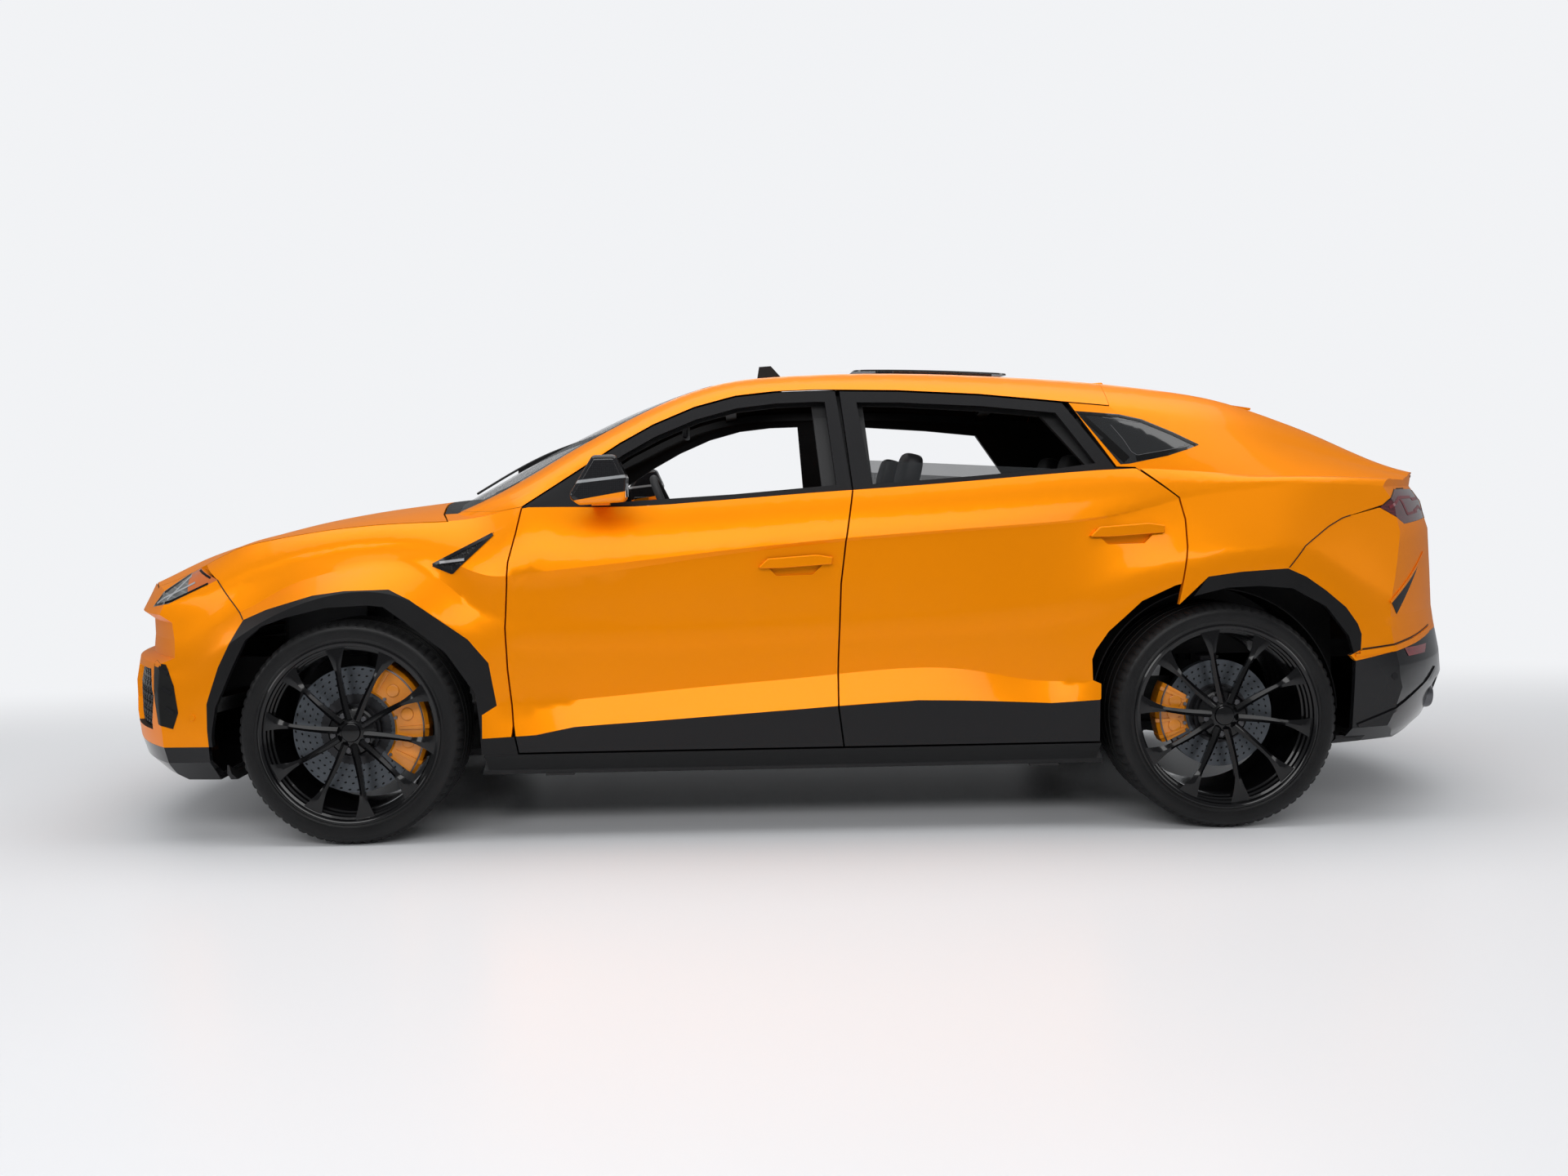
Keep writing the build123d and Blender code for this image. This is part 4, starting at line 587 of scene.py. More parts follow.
def raised(bm, push):
    """Gives a sheet thickness along a vector."""
    made = bmesh.ops.extrude_face_region(bm, geom=bm.faces[:])
    moved = [v for v in made["geom"] if isinstance(v, bmesh.types.BMVert)]
    bmesh.ops.translate(bm, vec=Vector(push), verts=moved)
    return bm


def laid_band(points, width, skin, along, lift=0.0007, thickness=0.001, steps=40, rows=1):
    """A band that follows points and lies on a surface, met along a direction."""
    band = strip(points, width, along, steps, rows)
    drop_onto(band, skin, along, lift)
    return raised(band, Vector(along).normalized() * -thickness)


def beside(points, sign):
    """(x, z) points set out on one side of the vehicle, from where they are laid on it."""
    return [(x, sign * OUTSIDE, z) for x, z in points]


def side_bands(lines, sign, width, skin, lift=0.0007, thickness=0.001, steps=40, rows=1):
    """Bands along lines of (x, z) points, laid on one side of the vehicle and joined."""
    joined = bmesh.new()
    for line in lines:
        points = beside(line, sign)
        add_into(joined, laid_band(points, width, skin, (0, -sign, 0), lift, thickness, steps, rows))
    return joined


def outline_face(points):
    bm = bmesh.new()
    bm.faces.new([bm.verts.new(p) for p in points])
    return bm


def side_patch(outline, sign, skin, lift=0.0007, thickness=0.001, cuts=6):
    """An outline of (x, z) points that is divided finely and laid on one side of the vehicle."""
    patch = outline_face(beside(outline, sign))
    bmesh.ops.triangulate(patch, faces=patch.faces[:])
    bmesh.ops.subdivide_edges(patch, edges=patch.edges[:], cuts=cuts, use_grid_fill=True)
    bmesh.ops.triangulate(patch, faces=patch.faces[:])
    drop_onto(patch, skin, (0, -sign, 0), lift)
    return raised(patch, (0, sign * thickness, 0))


def softened(bm, offset, segments=2):
    """Rounds every edge."""
    bmesh.ops.bevel(bm, geom=bm.edges[:], offset=offset, segments=segments, affect="EDGES", profile=0.5,
                    material=-1)
    return bm


def slab(points, push, bevel, segments=3):
    """A flat outline pushed along a vector, with rounded edges."""
    bm = raised(outline_face(points), push)
    bmesh.ops.recalc_face_normals(bm, faces=bm.faces)
    return softened(bm, bevel, segments)


def brick(low, high, bevel=0.004, segments=2):
    """A box between two corners with rounded edges."""
    bm = bmesh.new()
    bmesh.ops.create_cube(bm, size=1.0)
    low, high = Vector(low), Vector(high)
    bmesh.ops.scale(bm, vec=high - low, verts=bm.verts)
    bmesh.ops.translate(bm, vec=(low + high) / 2, verts=bm.verts)
    return softened(bm, bevel, segments)


def peg(place, sides, radius, depth, turn=ALONG_Y, tip=None):
    """A round or hexagonal peg, centred on a place and lying along Y unless it is turned."""
    bm = bmesh.new()
    bmesh.ops.create_cone(bm, cap_ends=True, segments=sides, radius1=radius, radius2=tip or radius,
                          depth=depth, matrix=Matrix.Translation(place) @ turn)
    return bm


def turned(profile, place, steps):
    """A closed profile of (radius, depth) points spun about an axle line."""
    x, z, outer, inward = place
    bm = bmesh.new()
    ring = [bm.verts.new((x + radius, outer + inward * depth, z)) for radius, depth in profile]
    edges = [bm.edges.new(pair) for pair in zip(ring, ring[1:] + ring[:1])]
    bmesh.ops.spin(bm, geom=ring + edges, cent=(x, 0, z), axis=(0, 1, 0), dvec=(0, 0, 0), angle=2 * pi,
                   steps=steps, use_merge=True, use_duplicate=False)
    bmesh.ops.remove_doubles(bm, verts=bm.verts, dist=1e-6)
    return bm


def swept(points, x, z, degrees, steps):
    """A closed outline turned part of the way round a line along Y."""
    bm = outline_face(points)
    bmesh.ops.spin(bm, geom=bm.faces[:] + bm.edges[:] + bm.verts[:], cent=(x, 0, z), axis=(0, -1, 0),
                   dvec=(0, 0, 0), angle=radians(degrees), steps=steps, use_merge=False, use_duplicate=False)
    return bm


def tube(points, radius, resolution=6, kind="NURBS"):
    """A round bar along points, as a mesh; kind POLY keeps its corners."""
    curve = bpy.data.curves.new("tube", "CURVE")
    curve.dimensions = "3D"
    curve.bevel_depth = radius
    curve.bevel_resolution = resolution // 2
    curve.use_fill_caps = True
    spline = curve.splines.new(kind)
    spline.points.add(len(points) - 1)
    for point, place in zip(spline.points, points):
        point.co = (*place, 1.0)
    if kind == "NURBS":
        spline.order_u = 3
        spline.use_endpoint_u = True
    holder = bpy.data.objects.new("tube", curve)
    mesh = bpy.data.meshes.new_from_object(holder)
    bm = bmesh.new()
    bm.from_mesh(mesh)
    bmesh.ops.remove_doubles(bm, verts=bm.verts, dist=1e-6)
    bpy.data.objects.remove(holder)
    bpy.data.curves.remove(curve)
    bpy.data.meshes.remove(mesh)
    return bm


def add_into(bm, *others):
    """Joins other meshes into the first one."""
    for other in others:
        mesh = bpy.data.meshes.new("joined")
        other.to_mesh(mesh)
        other.free()
        bm.from_mesh(mesh)
        bpy.data.meshes.remove(mesh)
    return bm


def sorted_corners(a, b):
    """Two opposite corners of a box as its lowest and highest ones."""
    return tuple(map(min, a, b)), tuple(map(max, a, b))


def inside_outline(y, z, outline):
    """Whether a point lies in a closed outline, by counting the sides that a line from it crosses."""
    inside = False
    for (ya, za), (yb, zb) in zip(outline, outline[1:] + outline[:1]):
        if (za > z) != (zb > z) and y < (yb - ya) * (z - za) / (zb - za) + ya:
            inside = not inside
    return inside


# ---------------------------------------------------------------- black and steel finishes
GLOSS_BLACK = (0.008, 0.008, 0.009)
PRINTED_BLACK = (0.004, 0.004, 0.004)
MESH_BLACK = (0.010, 0.010, 0.011)
CABIN_BLACK = (0.014, 0.014, 0.015)
CABIN_STEEL = (0.25, 0.25, 0.26)


# ---------------------------------------------------------------- body panels
PAINTED = ("front_fenders", "bonnet", "front_bumper", "quarter_panels", "roof_panel", "tailgate",
           "rear_bumper")
DARK_TRIM = ("body_cladding", "cowl_panel", "wind_deflector", "grilles")
GLOSS_TRIM = ("front_splitter", "rear_diffuser")
FRAME_STEEL = ("floor_pan", "body_frame", "body_side_left", "body_side_right")


class VEHICLE_OT_panels(bpy.types.Operator):
    """Painted panels, doors and dark cladding"""
    bl_idname = "vehicle.panels"
    bl_label = "Body panels"

    def wheel_house(self, side, sign, finish):
        """Arched shell over a rear wheel, from the boot's floor outwards."""
        x, z, radius = axle_place("rear")
        foot, reach, wall = 0.300, radius + 0.045, 0.004
        near, far = 0.560, 0.850
        section = [(foot, near), (reach, near), (reach, far), (reach + wall, far),
                   (reach + wall, near - wall), (foot, near - wall)]
        shell = swept([(x + out, sign * y, z) for out, y in section], x, z, 180, 40)
        place_piece(shell, f"wheel_house_{side}", "body", finish)

    def execute(self, context):
        paint = body_paint()
        satin = material(satin_plastic, finish_settings().cladding)
        gloss = material(gloss_plastic, GLOSS_BLACK)
        door_frame = material(frame_and_skirt, GLOSS_BLACK)
        for node in PAINTED:
            carry_over(node, paint)
        for node in DARK_TRIM:
            carry_over(node, satin)
        for node in GLOSS_TRIM:
            carry_over(node, gloss)
        for side, sign in SIDES:
            self.wheel_house(side, sign, satin)
            for end in ENDS:
                carry_over(f"{end}_door_{side}", paint)
                carry_over(f"{end}_door_trim_{side}", door_frame)
        for node in FRAME_STEEL:
            carry_over(node, material(coated_steel, (0.018, 0.018, 0.019)))
        return {"FINISHED"}


BUMPER_SEAM = ((-2.036, 0.916), (-1.982, 0.850), (-1.918, 0.776))
QUARTER_SEAM = ((1.664, 0.890), (1.724, 0.962), (1.824, 1.026), (1.881, 1.054), (2.040, 1.096))
LAMP_SEAM = ((2.029, 1.087), (2.120, 1.151), (2.200, 1.152))


class VEHICLE_OT_seams(bpy.types.Operator):
    """Dark lines where fixed panels butt"""
    bl_idname = "vehicle.seams"
    bl_label = "Panel seams"

    def execute(self, context):
        width = size_settings().seam_width
        dark = material(satin_plastic, (0.012, 0.008, 0.006))
        skin = surface_of("front_fenders", "front_bumper", "quarter_panels", "rear_bumper", "tail_lights")
        for side, sign in SIDES:
            seams = side_bands((BUMPER_SEAM, QUARTER_SEAM, LAMP_SEAM), sign, width, skin, steps=60)
            place_piece(seams, f"panel_seams_{side}", "body", dark)
        return {"FINISHED"}


# ---------------------------------------------------------------- wheels and brakes
TYRE_WIDTH = {"front": 0.285, "rear": 0.325}
TREAD_STATIONS = 288
GROOVE_PLACES = (0.24, 0.41)      # shares of the width; the other half mirrors them
RIM = 0.3138                      # radius of a wheel's flange
BEAD = 0.3038                     # radius that the tyre's bead sits on
THROAT = 0.2700                   # narrowest radius of the barrel


class VEHICLE_OT_tyres(bpy.types.Operator):
    """Low-profile tyres with grooves, shoulder blocks and a rim guard"""
    bl_idname = "vehicle.tyres"
    bl_label = "Tyres"

    def tyre_profile(self, radius, width, depth):
        """Closed section from bead to bead, as (radius, distance from the outer sidewall)."""
        wall = [(0.305, 0.0113), (0.3145, 0.0113), (0.3155, 0.0035), (0.322, 0.0012), (0.327, 0.0045),
                (0.335, 0.0030), (0.350, 0.0), (radius - 0.024, 0.0028), (radius - 0.018, 0.0055),
                (radius - 0.010, 0.0125), (radius - 0.004, 0.0235), (radius - 0.0012, 0.040)]
        tread = []
        for share in GROOVE_PLACES:
            middle = width * share
            tread += [(radius - 0.0005, middle - 0.0055), (radius - depth, middle - 0.0040),
                      (radius - depth, middle + 0.0040), (radius - 0.0002, middle + 0.0055)]
        half = wall + tread
        return half + [(r, width - d) for r, d in reversed(half)]

    def cut_blocks(self, bm, place, radius, width):
        """Sinks every fourth station of the shoulders, so that the tread ends in blocks."""
        x, z, outer, _ = place
        for vertex in bm.verts:
            across, up = vertex.co.x - x, vertex.co.z - z
            reach = hypot(across, up)
            depth = abs(vertex.co.y - outer)
            edge = min(depth, width - depth)
            station = round(atan2(up, across) / (2 * pi) * TREAD_STATIONS) % 4
            if reach > radius - 0.017 and edge < width * 0.22 and station == 0:
                shrink = (reach - 0.0050) / reach
                vertex.co.x = x + across * shrink
                vertex.co.z = z + up * shrink

    def execute(self, context):
        depth = size_settings().tread_depth
        for end, side, place, radius in wheel_places():
            rubber = material(tyre_rubber, (place[0], 0, place[1]), radius)
            tyre = turned(self.tyre_profile(radius, TYRE_WIDTH[end], depth), place, TREAD_STATIONS)
            self.cut_blocks(tyre, place, radius, TYRE_WIDTH[end])
            piece = place_piece(tyre, f"{end}_tyre_{side}_moulded", f"{end}_wheel_{side}", rubber)
            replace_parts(piece, f"{end}_tyre_{side}")
        return {"FINISHED"}


class VEHICLE_OT_wheels(bpy.types.Operator):
    """Wide black alloy wheels with ridged spokes, stepped barrels, bolts and bare caps"""
    bl_idname = "vehicle.wheels"
    bl_label = "Wheels"

    FIRST_SPOKE = 9             # degrees round the wheel
    SPOKE_START = 0.046         # reach from the axle
    SPOKE_LENGTH = 0.2495
    HUB_EDGE = 0.084
    HUB_BACK = 0.0655
    BOLTS = 5
    BOLT_REACH = 0.063
    BOLT_DEPTH = 0.036

    def barrel(self, place, width):
        profile = [(BEAD, 0.0110), (RIM, 0.0110), (RIM, 0.0032), (0.3090, 0.0002), (0.3050, 0.0012),
                   (0.3000, 0.0050), (0.2975, 0.0150), (0.2905, 0.0190), (0.2895, 0.0330), (0.2840, 0.0370),
                   (0.2832, 0.0560), (0.2775, 0.0600), (0.2765, 0.1200), (THROAT, 0.1500),
                   (THROAT, width - 0.014), (0.2950, width - 0.001), (RIM, width - 0.002),
                   (RIM, width - 0.011), (BEAD, width - 0.011), (0.2900, width - 0.020), (0.2860, 0.1500)]
        return turned(profile, place, 128)

    def hub(self, place):
        profile = [(0.0002, 0.020), (0.026, 0.0205), (0.031, 0.0225), (0.034, 0.027), (0.040, 0.029),
                   (0.056, 0.033), (0.078, 0.040), (self.HUB_EDGE, 0.046), (self.HUB_EDGE, self.HUB_BACK),
                   (0.0002, self.HUB_BACK)]
        return turned(profile, place, 64)

    def spoke(self, outer, inward):
        """One spoke along +X from the hub, ridged along its middle and flared wide at the rim."""
        bm = bmesh.new()
        bmesh.ops.create_cube(bm, size=1.0)
        for axis, cuts in ((0, 15), (2, 3)):
            edges = [e for e in bm.edges if abs((e.verts[0].co - e.verts[1].co)[axis]) > 0.5]
            bmesh.ops.subdivide_edges(bm, edges=edges, cuts=cuts)
        for vertex in bm.verts:
            share, face, spread = vertex.co.x + 0.5, vertex.co.y + 0.5, vertex.co.z * 2
            reach = self.SPOKE_START + self.SPOKE_LENGTH * share
            half = 0.0125 - 0.004 * min(1, share * 1.6) + 0.026 * max(0, (share - 0.62) / 0.38) ** 1.5
            twist = 0.006 * sin(pi * share)
            ridge = 0.010 * (1 - abs(spread)) * (1 - share ** 4)
            front = 0.026 - 0.010 * sin(pi * share * 0.5) - ridge
            back = 0.058 - 0.024 * share
            depth, taper = (front, 1.0) if face < 0.5 else (back, 0.55)
            vertex.co = Vector((reach, outer + inward * depth, spread * half * taper + twist))
        return bm

    def bolts(self, place):
        x, z, outer, inward = place
        joined = bmesh.new()
        for i in range(self.BOLTS):
            turn = 2 * pi * (i + 0.5) / self.BOLTS + radians(self.FIRST_SPOKE)
            across, up = self.BOLT_REACH * cos(turn), self.BOLT_REACH * sin(turn)
            middle = (x + across, outer + inward * self.BOLT_DEPTH, z + up)
            add_into(joined, softened(peg(middle, 6, 0.0105, 0.020), 0.0012))
        return joined

    def execute(self, context):
        enamel = material(wheel_enamel, (0.003, 0.003, 0.0035))
        steel = material(coated_steel, (0.05, 0.05, 0.055), 0.3)
        count = size_settings().spokes
        for end, side, place, _ in wheel_places():
            x, z, outer, inward = place
            wheel = add_into(self.barrel(place, TYRE_WIDTH[end]), self.hub(place))
            for i in range(count):
                blade = self.spoke(outer, inward)
                turn = Matrix.Rotation(radians(360 / count * i + self.FIRST_SPOKE), 4, "Y")
                bmesh.ops.transform(blade, matrix=Matrix.Translation((x, 0, z)) @ turn, verts=blade.verts)
                add_into(wheel, blade)
            body = f"{end}_wheel_{side}"
            piece = place_piece(wheel, f"{end}_wheel_{side}_alloy", body, enamel, sharp=0.45)
            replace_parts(piece, f"{end}_wheel_{side}")
            place_piece(self.bolts(place), f"{end}_wheel_bolts_{side}", body, steel)
        return {"FINISHED"}


class VEHICLE_OT_brakes(bpy.types.Operator):
    """Cross-drilled discs, ribbed calipers and the running gear"""
    bl_idname = "vehicle.brakes"
    bl_label = "Brakes and running gear"

    SPAN = {"front": (-38, 70), "rear": (150, 206)}     # degrees round the axle that a caliper covers
    BOSSES = (0.235, 0.50, 0.765)                       # shares of that span
    RIBS = (0.10, 0.37, 0.63, 0.90)
    RIB_HALF = 1.6                                      # degrees
    INNER_SHARE = 0.64                                  # of the disc's radius
    OVER_DISC = 0.036                                   # how far a caliper reaches past the disc
    FACE = 0.069                                        # depth of its outer face

    def at(self, place, reach, depth, angle):
        """Point round an axle line: its place is (x, z, outer face, direction inwards)."""
        x, z, outer, inward = place
        return x + reach * cos(radians(angle)), outer + inward * depth, z + reach * sin(radians(angle))

    def swept_section(self, place, section, start, end, steps=28):
        """A closed section of (reach, depth) points swept round the axle line between two angles."""
        points = [self.at(place, reach, depth, start) for reach, depth in section]
        return swept(points, place[0], place[1], end - start, steps)

    def caliper(self, place, inner, disc, outer, start, end):
        """A caliper that straddles the disc, with bridge ribs and piston bosses."""
        section = [(inner, 0.076), (inner + 0.008, 0.070), (outer - 0.026, 0.068), (outer - 0.010, 0.073),
                   (outer, 0.084), (outer, 0.150), (inner, 0.150), (inner, 0.133), (disc + 0.008, 0.133),
                   (disc + 0.008, 0.087), (inner, 0.087)]
        rib = [(inner + 0.018, 0.064), (outer - 0.022, 0.062), (outer + 0.003, 0.076), (outer + 0.003, 0.140),
               (outer - 0.004, 0.140), (outer - 0.004, 0.080), (inner + 0.018, 0.075)]
        body = self.swept_section(place, section, start, end)
        for share in self.RIBS:
            angle = start + (end - start) * share
            add_into(body, self.swept_section(place, rib, angle - self.RIB_HALF, angle + self.RIB_HALF, 2))
        for share in self.BOSSES:
            middle = self.at(place, (inner + outer) / 2 - 0.006, self.FACE, start + (end - start) * share)
            add_into(body, softened(peg(middle, 32, 0.022, 0.012), 0.003, 3))
        return body

    def fittings(self, place, inner, outer, start, end):
        """The caliper's crossover pipe and its bolts."""
        stations = 8
        route = [self.at(place, outer - 0.012, 0.0655, start + (end - start) * i / stations)
                 for i in range(stations + 1)]
        bits = tube(route, 0.0028)
        for share in (0.03, *self.BOSSES, 0.97):
            middle = self.at(place, inner + 0.010, self.FACE, start + (end - start) * share)
            add_into(bits, peg(middle, 6, 0.0065, 0.010))
        return bits

    def execute(self, context):
        enamel = material(caliper_enamel, finish_settings().caliper)
        gear = material(coated_steel, (0.03, 0.03, 0.032))
        steel = material(brushed_steel, (0.20, 0.20, 0.21))
        rear_bodies = bmesh.new()
        for end, side, place, _ in wheel_places():
            node = f"{end}_brake_disc_{side}"
            low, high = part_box(node)
            disc = (high.z - low.z) / 2
            inner, outer = disc * self.INNER_SHARE, disc + self.OVER_DISC
            carry_over(node, material(brake_iron, (place[0], 0, place[1]), disc))
            body = f"front_knuckle_{side}" if end == "front" else "body"
            made = self.caliper(place, inner, disc, outer, *self.SPAN[end])
            bits = self.fittings(place, inner, outer, *self.SPAN[end])
            place_piece(bits, f"{end}_caliper_fittings_{side}", body, steel)
            if end == "front":
                piece = place_piece(made, f"front_caliper_{side}_cast", body, enamel)
                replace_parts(piece, f"front_caliper_{side}")
                carry_over(f"front_knuckle_{side}", gear)
            else:
                add_into(rear_bodies, made)
        piece = place_piece(rear_bodies, "rear_calipers_cast", "body", enamel)
        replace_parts(piece, "rear_calipers")
        carry_over("front_suspension", gear)
        carry_over("rear_suspension", gear)
        carry_over("engine_block", material(coated_steel, (0.09, 0.09, 0.095), 0.35))
        return {"FINISHED"}


# ---------------------------------------------------------------- glass, lamps and mirrors
class VEHICLE_OT_glass(bpy.types.Operator):
    """Windows with their black borders"""
    bl_idname = "vehicle.glass"
    bl_label = "Glass"

    WINDSCREEN_EDGE = ((-1.150, 0.672), (-1.000, 0.690), (-0.817, 0.680), (-0.640, 0.655), (-0.480, 0.632),
                       (-0.330, 0.610), (-0.300, 0.40), (-0.295, 0.0))
    SURROUND = (((1.016, 1.448), (1.161, 1.434), 0.016), ((1.161, 1.434), (1.240, 1.415), 0.016),
                ((1.240, 1.415), (1.350, 1.365), 0.018), ((1.350, 1.365), (1.434, 1.322), 0.020),
                ((1.434, 1.322), (1.398, 1.307), 0.020), ((1.398, 1.307), (1.200, 1.277), 0.018),
                ((1.006, 1.446), (1.165, 1.272), 0.030), ((0.992, 1.452), (1.128, 1.256), 0.024))
    PRINTED_LINE = ((1.100, 1.427), (1.245, 1.403), (1.345, 1.357), (1.400, 1.325), (1.350, 1.310),
                    (1.205, 1.288), (1.186, 1.300), (1.160, 1.350), (1.125, 1.399))
    REAR_EDGE = ((1.745, 0.0), (1.745, 0.40), (1.760, 0.505), (1.900, 0.508), (2.050, 0.498), (2.180, 0.486))

    def border(self, node, edge, body, width):
        """A black band on the glass, inside its edge on both sides."""
        skin = surface_of(node)
        joined = bmesh.new()
        for sign in (-1, 1):
            line = [(x, sign * y, 2.0) for x, y in edge]
            add_into(joined, laid_band(line, width, skin, (0, 0, -1), thickness=0.0004, steps=90, rows=3))
        place_piece(joined, f"{node}_border", body, material(gloss_plastic, PRINTED_BLACK))

    def quarter_window(self, side, sign):
        """The black surround and the printed aerial line."""
        around = surface_of(f"body_side_{side}", "quarter_windows")
        joined = bmesh.new()
        for start, stop, width in self.SURROUND:
            add_into(joined, side_bands(((start, stop),), sign, width, around, 0.0008, 0.0012, 24, 2))
        black = material(gloss_plastic, PRINTED_BLACK)
        place_piece(joined, f"quarter_window_surround_{side}", "body", black)
        glass, printed = surface_of("quarter_windows"), material(satin_plastic, (0.10, 0.10, 0.105))
        line = side_bands((self.PRINTED_LINE,), sign, 0.0016, glass, 0.0004, 0.0003, 120)
        place_piece(line, f"printed_aerial_{side}", "body", printed)

    def execute(self, context):
        clear = material(tinted_glass, (0.05, 0.06, 0.06), 0.30)
        door = material(tinted_glass, (0.018, 0.020, 0.022), finish_settings().glass_tint)
        dark = material(tinted_glass, (0.010, 0.011, 0.012), 0.86)
        carry_over("windscreen", clear)
        for node in ("rear_window", "quarter_windows", "sunroof_glass"):
            carry_over(node, dark)
        for side, _ in SIDES:
            carry_over(f"rear_door_glass_{side}", door)
        for side, sign in SIDES:
            self.quarter_window(side, sign)
        self.border("windscreen", self.WINDSCREEN_EDGE, "body", 0.05)
        self.border("rear_window", self.REAR_EDGE, "tailgate", 0.04)
        return {"FINISHED"}


class VEHICLE_OT_lamps(bpy.types.Operator):
    """Headlights and tail lights with their light guides"""
    bl_idname = "vehicle.lamps"
    bl_label = "Lamps"

    HEAD_GUIDES = (((-2.262, 0.836), (-2.190, 0.872), (-2.120, 0.908)),
                   ((-2.190, 0.872), (-2.150, 0.930)), ((-2.190, 0.872), (-2.205, 0.852)))
    TAIL_GUIDES = (((2.065, 1.085), (2.130, 1.120), (2.230, 1.120)), ((2.130, 1.120), (2.170, 1.060)),
                   ((2.170, 1.060), (2.260, 1.068)))
    REAR_GUIDES = (((0.560, 1.115), (0.700, 1.112)), ((0.560, 1.070), (0.640, 1.085), (0.720, 1.070)))
    HEAD_RIM = ((-2.276, 0.830), (-2.198, 0.843), (-2.046, 0.915), (-2.138, 0.955), (-2.222, 0.881),
                (-2.276, 0.830))

    def execute(self, context):
        lens = material(lamp_lens, (0.15, 0.155, 0.155), (0.50, 0.12, 0.02))
        carry_over("headlights", lens)
        carry_over("tail_lights", material(tail_lens, (0.09, 0.012, 0.018)))
        white = material(light_strip, (0.34, 0.35, 0.36), 0.05)
        red = material(light_strip, (0.16, 0.020, 0.028), 0.08)
        black = material(gloss_plastic, PRINTED_BLACK)
        head, tail = surface_of("headlights"), surface_of("tail_lights")
        around = surface_of("headlights", "front_bumper")
        for side, sign in SIDES:
            for name, lines, width, skin, finish in (
                    ("headlight_guides", self.HEAD_GUIDES, 0.006, head, white),
                    ("tail_light_guides", self.TAIL_GUIDES, 0.010, tail, red),
                    ("headlight_rim", (self.HEAD_RIM,), 0.0070, around, black)):
                guides = side_bands(lines, sign, width, skin, steps=24)
                place_piece(guides, f"{name}_{side}", "body", finish)
            joined = bmesh.new()
            for line in self.REAR_GUIDES:
                points = [(BEHIND, sign * y, z) for y, z in line]
                add_into(joined, laid_band(points, 0.010, tail, (-1, 0, 0), steps=24))
            place_piece(joined, f"tail_light_bars_{side}", "body", red)
        return {"FINISHED"}


class VEHICLE_OT_mirrors(bpy.types.Operator):
    """Door mirrors with silvered glass"""
    bl_idname = "vehicle.mirrors"
    bl_label = "Door mirrors"

    FACE = -0.5815
    GLASS_EDGE = ((0.974, 1.176), (1.066, 1.174), (1.074, 1.236), (1.040, 1.240), (0.968, 1.238))

    def execute(self, context):
        shell = material(mirror_shell, GLOSS_BLACK, finish_settings().paint)
        silver = material(silvered_glass)
        for side, sign in SIDES:
            carry_over(f"door_mirror_{side}", shell)
            glass = slab([(self.FACE, sign * y, z) for y, z in self.GLASS_EDGE], (0.0025, 0, 0), 0.001, 2)
            place_piece(glass, f"mirror_glass_{side}", f"front_door_{side}", silver)
        return {"FINISHED"}


# ---------------------------------------------------------------- grilles, vents and small trim
SLOT = ((-0.640, 0.656), (0.640, 0.656), (0.640, 0.769), (-0.640, 0.769))
CENTRE_INTAKE = ((-0.430, 0.396), (0.430, 0.396), (0.499, 0.470), (0.430, 0.599), (-0.430, 0.599),
                 (-0.499, 0.470))
SIDE_INTAKE = ((-0.880, 0.401), (-0.620, 0.401), (-0.561, 0.480), (-0.600, 0.609), (-0.860, 0.609),
               (-0.904, 0.520))
FENDER_VENT = ((-1.268, 0.955), (-1.062, 1.058), (-1.200, 0.927))
CORNER_VENT = ((-2.254, 0.640), (-2.195, 0.630), (-2.162, 0.557), (-2.146, 0.465), (-2.164, 0.410),
               (-2.222, 0.425), (-2.240, 0.500), (-2.250, 0.580))
CORNER_SLATS = (((-2.222, 0.622), (-2.186, 0.598)), ((-2.206, 0.552), (-2.170, 0.530)),
                ((-2.192, 0.484), (-2.160, 0.464)))
VENT_BAR = ((-1.252, 0.962), (-1.105, 0.978))
HEXAGON_HALF = 0.866       # half the width across a hexagon's flats, as a share of its radius


def hexagon_mesh(outline, cell, wire, to_point):
    """Bars of a hexagon mesh that fills an outline of (a, b) pairs; to_point gives a place, or None."""
    bm = bmesh.new()
    firsts, seconds = [a for a, b in outline], [b for a, b in outline]
    row, b = 0, min(seconds)
    while b < max(seconds):
        a = min(firsts) + (cell * HEXAGON_HALF if row % 2 else 0)
        while a < max(firsts):
            if inside_outline(a, b, list(outline)):
                spin = Matrix.Rotation(radians(30), 4, "Z")
                bmesh.ops.create_circle(bm, cap_ends=True, segments=6, radius=cell,
                                        matrix=Matrix.Translation((a, b, 0)) @ spin)
            a += cell * HEXAGON_HALF * 2
        b += cell * 1.5
        row += 1
    bmesh.ops.remove_doubles(bm, verts=bm.verts, dist=cell * 0.05)
    bmesh.ops.wireframe(bm, faces=bm.faces[:], thickness=wire, offset=0.0, use_replace=True,
                        use_boundary=True, use_even_offset=True, use_relative_offset=False)
    placed = [(vertex, to_point(vertex.co)) for vertex in bm.verts]
    for vertex, place in placed:
        vertex.co = place or vertex.co
    bmesh.ops.delete(bm, geom=[vertex for vertex, place in placed if place is None], context="VERTS")
    return bm


